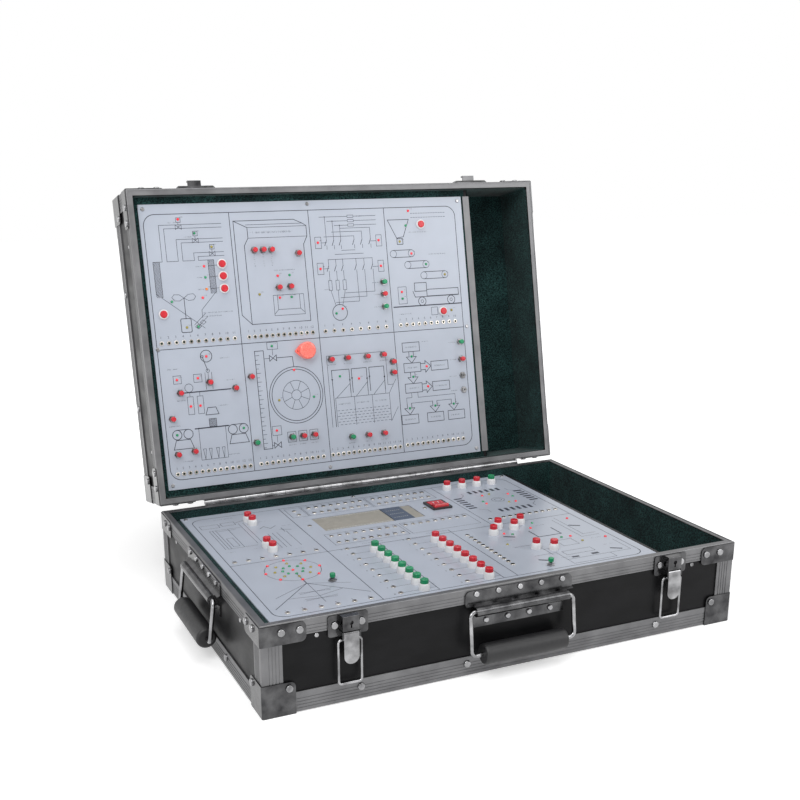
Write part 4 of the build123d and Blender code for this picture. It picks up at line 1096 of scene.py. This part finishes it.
def lid_flow(pen):
    """The flow boxes with their block arrows."""
    boxes = [
        (373.5, 222, 400.5, 235), (373.5, 251.5, 400, 264.5), (417, 251.5, 444.5, 264.5),
        (373, 281, 400, 294), (417, 281, 444.5, 294), (363.5, 325.5, 390, 338.5),
        (404.5, 325.5, 431, 338.5), (438.5, 325.5, 465.5, 338.5),
    ]
    for x0, y0, x1, y1 in boxes:
        pen.box(x0, y0, x1, y1, medium)
        pen.note(x0 + 5, (y0 + y1) / 2, x1 - x0 - 10, 2)
    for x, y in ((386.5, 251.5), (386.5, 281), (377, 325), (418, 325), (448.5, 325)):
        pen.line([
            (x - 3.5, y - 16), (x - 3.5, y - 9), (x - 8, y - 9), (x, y),
            (x + 8, y - 9), (x + 3.5, y - 9), (x + 3.5, y - 16),
        ], medium)
    for x, y in ((416.5, 258), (416, 287.5)):
        pen.line([
            (x - 16, y - 4.5), (x - 9, y - 4.5), (x - 9, y - 8.5), (x, y),
            (x - 9, y + 8.5), (x - 9, y + 4.5), (x - 16, y + 4.5),
        ], medium)
    pen.line([(373.5, 309), (373.5, 301), (382, 301), (382, 294)])
    pen.line([(392, 294), (392, 301.5), (452, 301.5), (452, 309)])
    pen.lines([[(380.5, 309), (414.5, 309)], [(421.5, 309), (445, 309)]])
    pen.notes([(408, 222), (452, 226.7), (452, 251.7), (450, 276), (450, 297)], 11, 4)


def lid_diagrams(sockets, lamps):
    """Everything printed on the lid's panel."""
    pen = Print(lid_at, -1)
    left, top, right, bottom = lid_frame
    pen.frame(*lid_frame, frame_corner)
    for x in lid_columns:
        pen.stroke(x, top, x, bottom, medium)
    pen.stroke(left, lid_middle, right, lid_middle, medium)
    drawings = (
        lid_tank, lid_cabinet, lid_motor_circuit, lid_conveyor,
        lid_machine, lid_washer, lid_pool, lid_flow,
    )
    for draw in drawings:
        draw(pen)
    rows = {}
    for x, y in sockets:
        rows.setdefault((round(y / 20), int((x - 22) / 114)), []).append((x, y))
    for members in rows.values():
        rows_of_numbers(pen, sorted(members), -7.5)
    for x, y in lamps:
        pen.note(x + 3, y - 3, 3, 1.2)
    pen.finish("lid_print", ink, "lid")


def base_crossing(pen):
    """The street crossing with its lights, and the chamber below it."""
    for i in range(6):
        x = 420 + i * 9
        pen.block(x, 335, x + 4.5, 346)
        pen.block(x + 2, 249, x + 6.5, 261)
        y = 276 + i * 8.8
        pen.block(388, y, 400, y + 4.4)
        pen.block(483, y, 496, y + 4.4)
    pen.circle(443.5, 297, 9)
    pen.circle(443.5, 297, 5)
    for side in (-1, 1):
        x = 443.5 + side * 35
        pen.lines([[(x, 340), (x, 332), (x + side * 9, 323)], [(x, 254), (x, 262), (x + side * 9, 271)]])
    pen.line([(413, 165), (413, 141), (446, 141), (446, 165)], thick)
    for x, y in ((379.5, 157), (478, 160), (376, 68), (477, 67)):
        pen.stroke(x - 5, y + 3, x + 5, y - 3, thick * 2)
    pen.block(411, 61, 421, 65)
    pen.block(439, 61, 449, 66)
    pen.lines([[(463, 190), (463, 120), (488, 120)], [(470, 196), (470, 128), (488, 128)]])
    pen.stroke(395, 128, 395, 80)
    pen.box(410, 72, 450, 84)
    pen.box(402, 44, 462, 58)
    pen.stroke(366, 120, 404, 120)
    pen.lines([[(372, 84), (402, 84), (402, 58)], [(462, 58), (492, 58), (492, 96)]])
    pen.box(424, 100, 446, 120)
    pen.notes([
        (370, 182), (404, 187), (432, 180), (470, 110), (366, 145), (398, 66), (470, 84), (392, 100),
    ], 14)


def base_tower(pen):
    """The lights' tower in front of the rosette."""
    pen.stroke(94.5, 134, 94.5, 60, thin)
    pen.lines([[(94, 118), (38, 61)], [(94, 118), (150, 66)], [(94, 118), (94, 150)]], medium)
    pen.lines([[(60, 83), (94, 78), (126, 88)], [(94, 118), (140, 100)], [(94, 118), (48, 90)]])
    for x, y in ((94, 104), (94, 84)):
        pen.lines([[(x - 18, y - 14), (x + 20, y - 10)], [(x - 18, y - 10), (x + 18, y - 14)]])
    pen.circle(94, 163, 33, thin)


def base_lift(pen):
    """The lift drawing at the left of the back row."""
    for x in (43, 47, 51, 67):
        pen.stroke(x, 262, x, 335)
    pen.lines([[(43, 335), (84, 335)], [(51, 330), (76, 330)], [(47, 262), (84, 262)]])
    pen.box(55, 268, 63, 300)
    pen.box(36, 345, 60, 358)
    pen.box(64, 348, 82, 360)
    pen.lines([[(60, 352), (64, 354)], [(82, 354), (110, 366)]])
    for x in (86, 92):
        pen.stroke(x, 268, x, 350)
    for x in (108, 114, 120, 133):
        pen.stroke(x, 240, x, 296)
    pen.line([(105, 318), (112, 325), (118, 314), (127, 322)], medium)
    pen.stroke(128, 306, 141, 300, medium)
    pen.stroke(131, 311, 131, 296, medium)
    pen.notes([(110, 345), (74, 250), (120, 230), (134, 318), (40, 250)], 12)


def base_columns(pen):
    """Lines from the two columns of sockets to their buttons."""
    for x, button_x in ((178, 206), (261, 288)):
        for i in range(9):
            y = 202 - 19.3 * i
            pen.stroke(x + 3, y, x + 16, y)
            if i:
                pen.stroke(x + 16, y, button_x - 5, y)
                pen.stroke(button_x + 5, y, button_x + 16, y)
            pen.number(x - 7, y, i)
        pen.stroke(button_x + 16, 192, button_x + 16, 40, medium)
        pen.line([(x + 16, 202), (button_x + 16, 202), (button_x + 16, 192)], thin)


def base_diagrams(sockets):
    """Everything printed on the base's panel."""
    pen = Print(base_at, 1)
    left, front, right, back = base_frame
    pen.frame(*base_frame, frame_corner)
    pen.stroke(153.5, front, 153.5, back, medium)
    pen.stroke(322, 40, 322, 213, medium)
    pen.stroke(383, 208, 383, back, medium)
    pen.stroke(left, 204, right, 204, medium)
    for x0, x1 in ((159, 181), (183, 275), (277, 370)):
        pen.box(x0, 341, x1, 380)
    pen.box(171, 220, 272, 262)
    pen.box(276, 220, 374, 262)
    for draw in (base_crossing, base_tower, base_lift, base_columns):
        draw(pen)
    rows = {}
    for x, y in sockets:
        rows.setdefault((round(y / 6), int((x - 22) / 131)), []).append((x, y))
    for members in rows.values():
        if len(members) > 3:
            rows_of_numbers(pen, sorted(members), 6.5)
    pen.note(60, 376, 26, 2.4)
    pen.note(200, 212, 30, 2)
    pen.note(290, 212, 30, 2)
    pen.finish("base_print", ink, "base")


# Camera, light and floor
def place_camera():
    """The camera that was solved from the photograph."""
    azimuth = math.radians(24.27)
    elevation = math.radians(17.29)
    roll = math.radians(-0.23)
    level = math.cos(elevation)
    forward = Vector((math.sin(azimuth) * level, math.cos(azimuth) * level, -math.sin(elevation)))
    right = Vector((math.cos(azimuth), -math.sin(azimuth), 0))
    up = right.cross(forward)
    turned_right = right * math.cos(roll) + up * math.sin(roll)
    turned_up = up * math.cos(roll) - right * math.sin(roll)
    data = bpy.data.cameras.new("camera")
    data.sensor_width = 36
    data.lens = 50.49
    data.shift_x = 0.0187
    data.shift_y = 0.1152
    data.clip_start = 0.05
    camera = bpy.data.objects.new("camera", data)
    camera.matrix_world = Matrix.Translation((-0.6080, -1.1932, 0.5641)) @ Matrix((
        turned_right, turned_up, -forward,
    )).transposed().to_4x4()
    add_to_scene(camera)
    bpy.context.scene.camera = camera


def area_light(name, place, target, size, power):
    """A square area light aimed at a place."""
    data = bpy.data.lights.new(name, "AREA")
    data.energy = power
    data.size = size
    light = bpy.data.objects.new(name, data)
    light.location = place
    light.rotation_euler = (Vector(target) - Vector(place)).to_track_quat("-Z", "Y").to_euler()
    add_to_scene(light)


def light_world(strength):
    """An even white surround, pure white where it is seen directly or mirrored."""
    world = bpy.data.worlds.new("surround")
    world.use_nodes = True
    nodes = world.node_tree.nodes
    links = world.node_tree.links
    nodes.clear()
    soft = nodes.new("ShaderNodeBackground")
    set_inputs(soft, {"Color": (1, 1, 1, 1), "Strength": strength})
    seen = nodes.new("ShaderNodeBackground")
    set_inputs(seen, {"Color": (1, 1, 1, 1), "Strength": 1.0})
    path = nodes.new("ShaderNodeLightPath")
    white_rays = path.outputs["Is Camera Ray"]
    for kind in ("Is Glossy Ray", "Is Transmission Ray"):
        either = nodes.new("ShaderNodeMath")
        either.operation = "MAXIMUM"
        links.new(white_rays, either.inputs[0])
        links.new(path.outputs[kind], either.inputs[1])
        white_rays = either.outputs[0]
    blend = nodes.new("ShaderNodeMixShader")
    output = nodes.new("ShaderNodeOutputWorld")
    links.new(white_rays, blend.inputs["Fac"])
    links.new(soft.outputs[0], blend.inputs[1])
    links.new(seen.outputs[0], blend.inputs[2])
    links.new(blend.outputs[0], output.inputs["Surface"])
    bpy.context.scene.world = world


def white_floor():
    """A near-white floor with a soft shadow, which turns into the white surround further out."""
    material, shader = new_material("floor", (0.9, 0.9, 0.9), 0.9)
    shader.inputs["Specular IOR Level"].default_value = 0.0
    nodes = material.node_tree.nodes
    links = material.node_tree.links
    geometry = nodes.new("ShaderNodeNewGeometry")
    distance = nodes.new("ShaderNodeVectorMath")
    distance.operation = "LENGTH"
    links.new(geometry.outputs["Position"], distance.inputs[0])
    outside = nodes.new("ShaderNodeMapRange")
    outside.interpolation_type = "SMOOTHSTEP"
    set_inputs(outside, {"From Min": 0.4, "From Max": 1.1, "To Min": 0.45, "To Max": 1.0})
    links.new(distance.outputs["Value"], outside.inputs["Value"])
    shader.inputs["Emission Color"].default_value = (1, 1, 1, 1)
    links.new(outside.outputs["Result"], shader.inputs["Emission Strength"])
    mesh = bpy.data.meshes.new("floor")
    reach = 6.0
    square = [(-reach, -reach, 0), (reach, -reach, 0), (reach, reach, 0), (-reach, reach, 0)]
    mesh.from_pydata(square, [], [(0, 1, 2, 3)])
    mesh.materials.append(material)
    floor = bpy.data.objects.new("floor", mesh)
    add_to_scene(floor)


dress_nodes()
lamp_places = split_nodes()
base_velvet()
lid_velvet()
controller_face()
rocker_marks()
lid_diagrams(
    [lid_place(middle(points)) for points, _ in solids_of("lid_sockets")],
    [lid_place(point) for point in lamp_places],
)
base_diagrams([base_place(middle(points)) for points, _ in solids_of("base_sockets")])
place_camera()
area_light("key", place=(-1.5, -1.5, 2.0), target=(0, 0, 0.1), size=1.4, power=34)
area_light("fill", place=(1.6, -1.8, 1.5), target=(0, 0, 0.15), size=1.3, power=16)
area_light("top", place=(0.1, -0.3, 2.6), target=(0, 0, 0), size=1.8, power=26)
light_world(strength=0.22)
white_floor()
bpy.context.scene.view_settings.view_transform = "Standard"
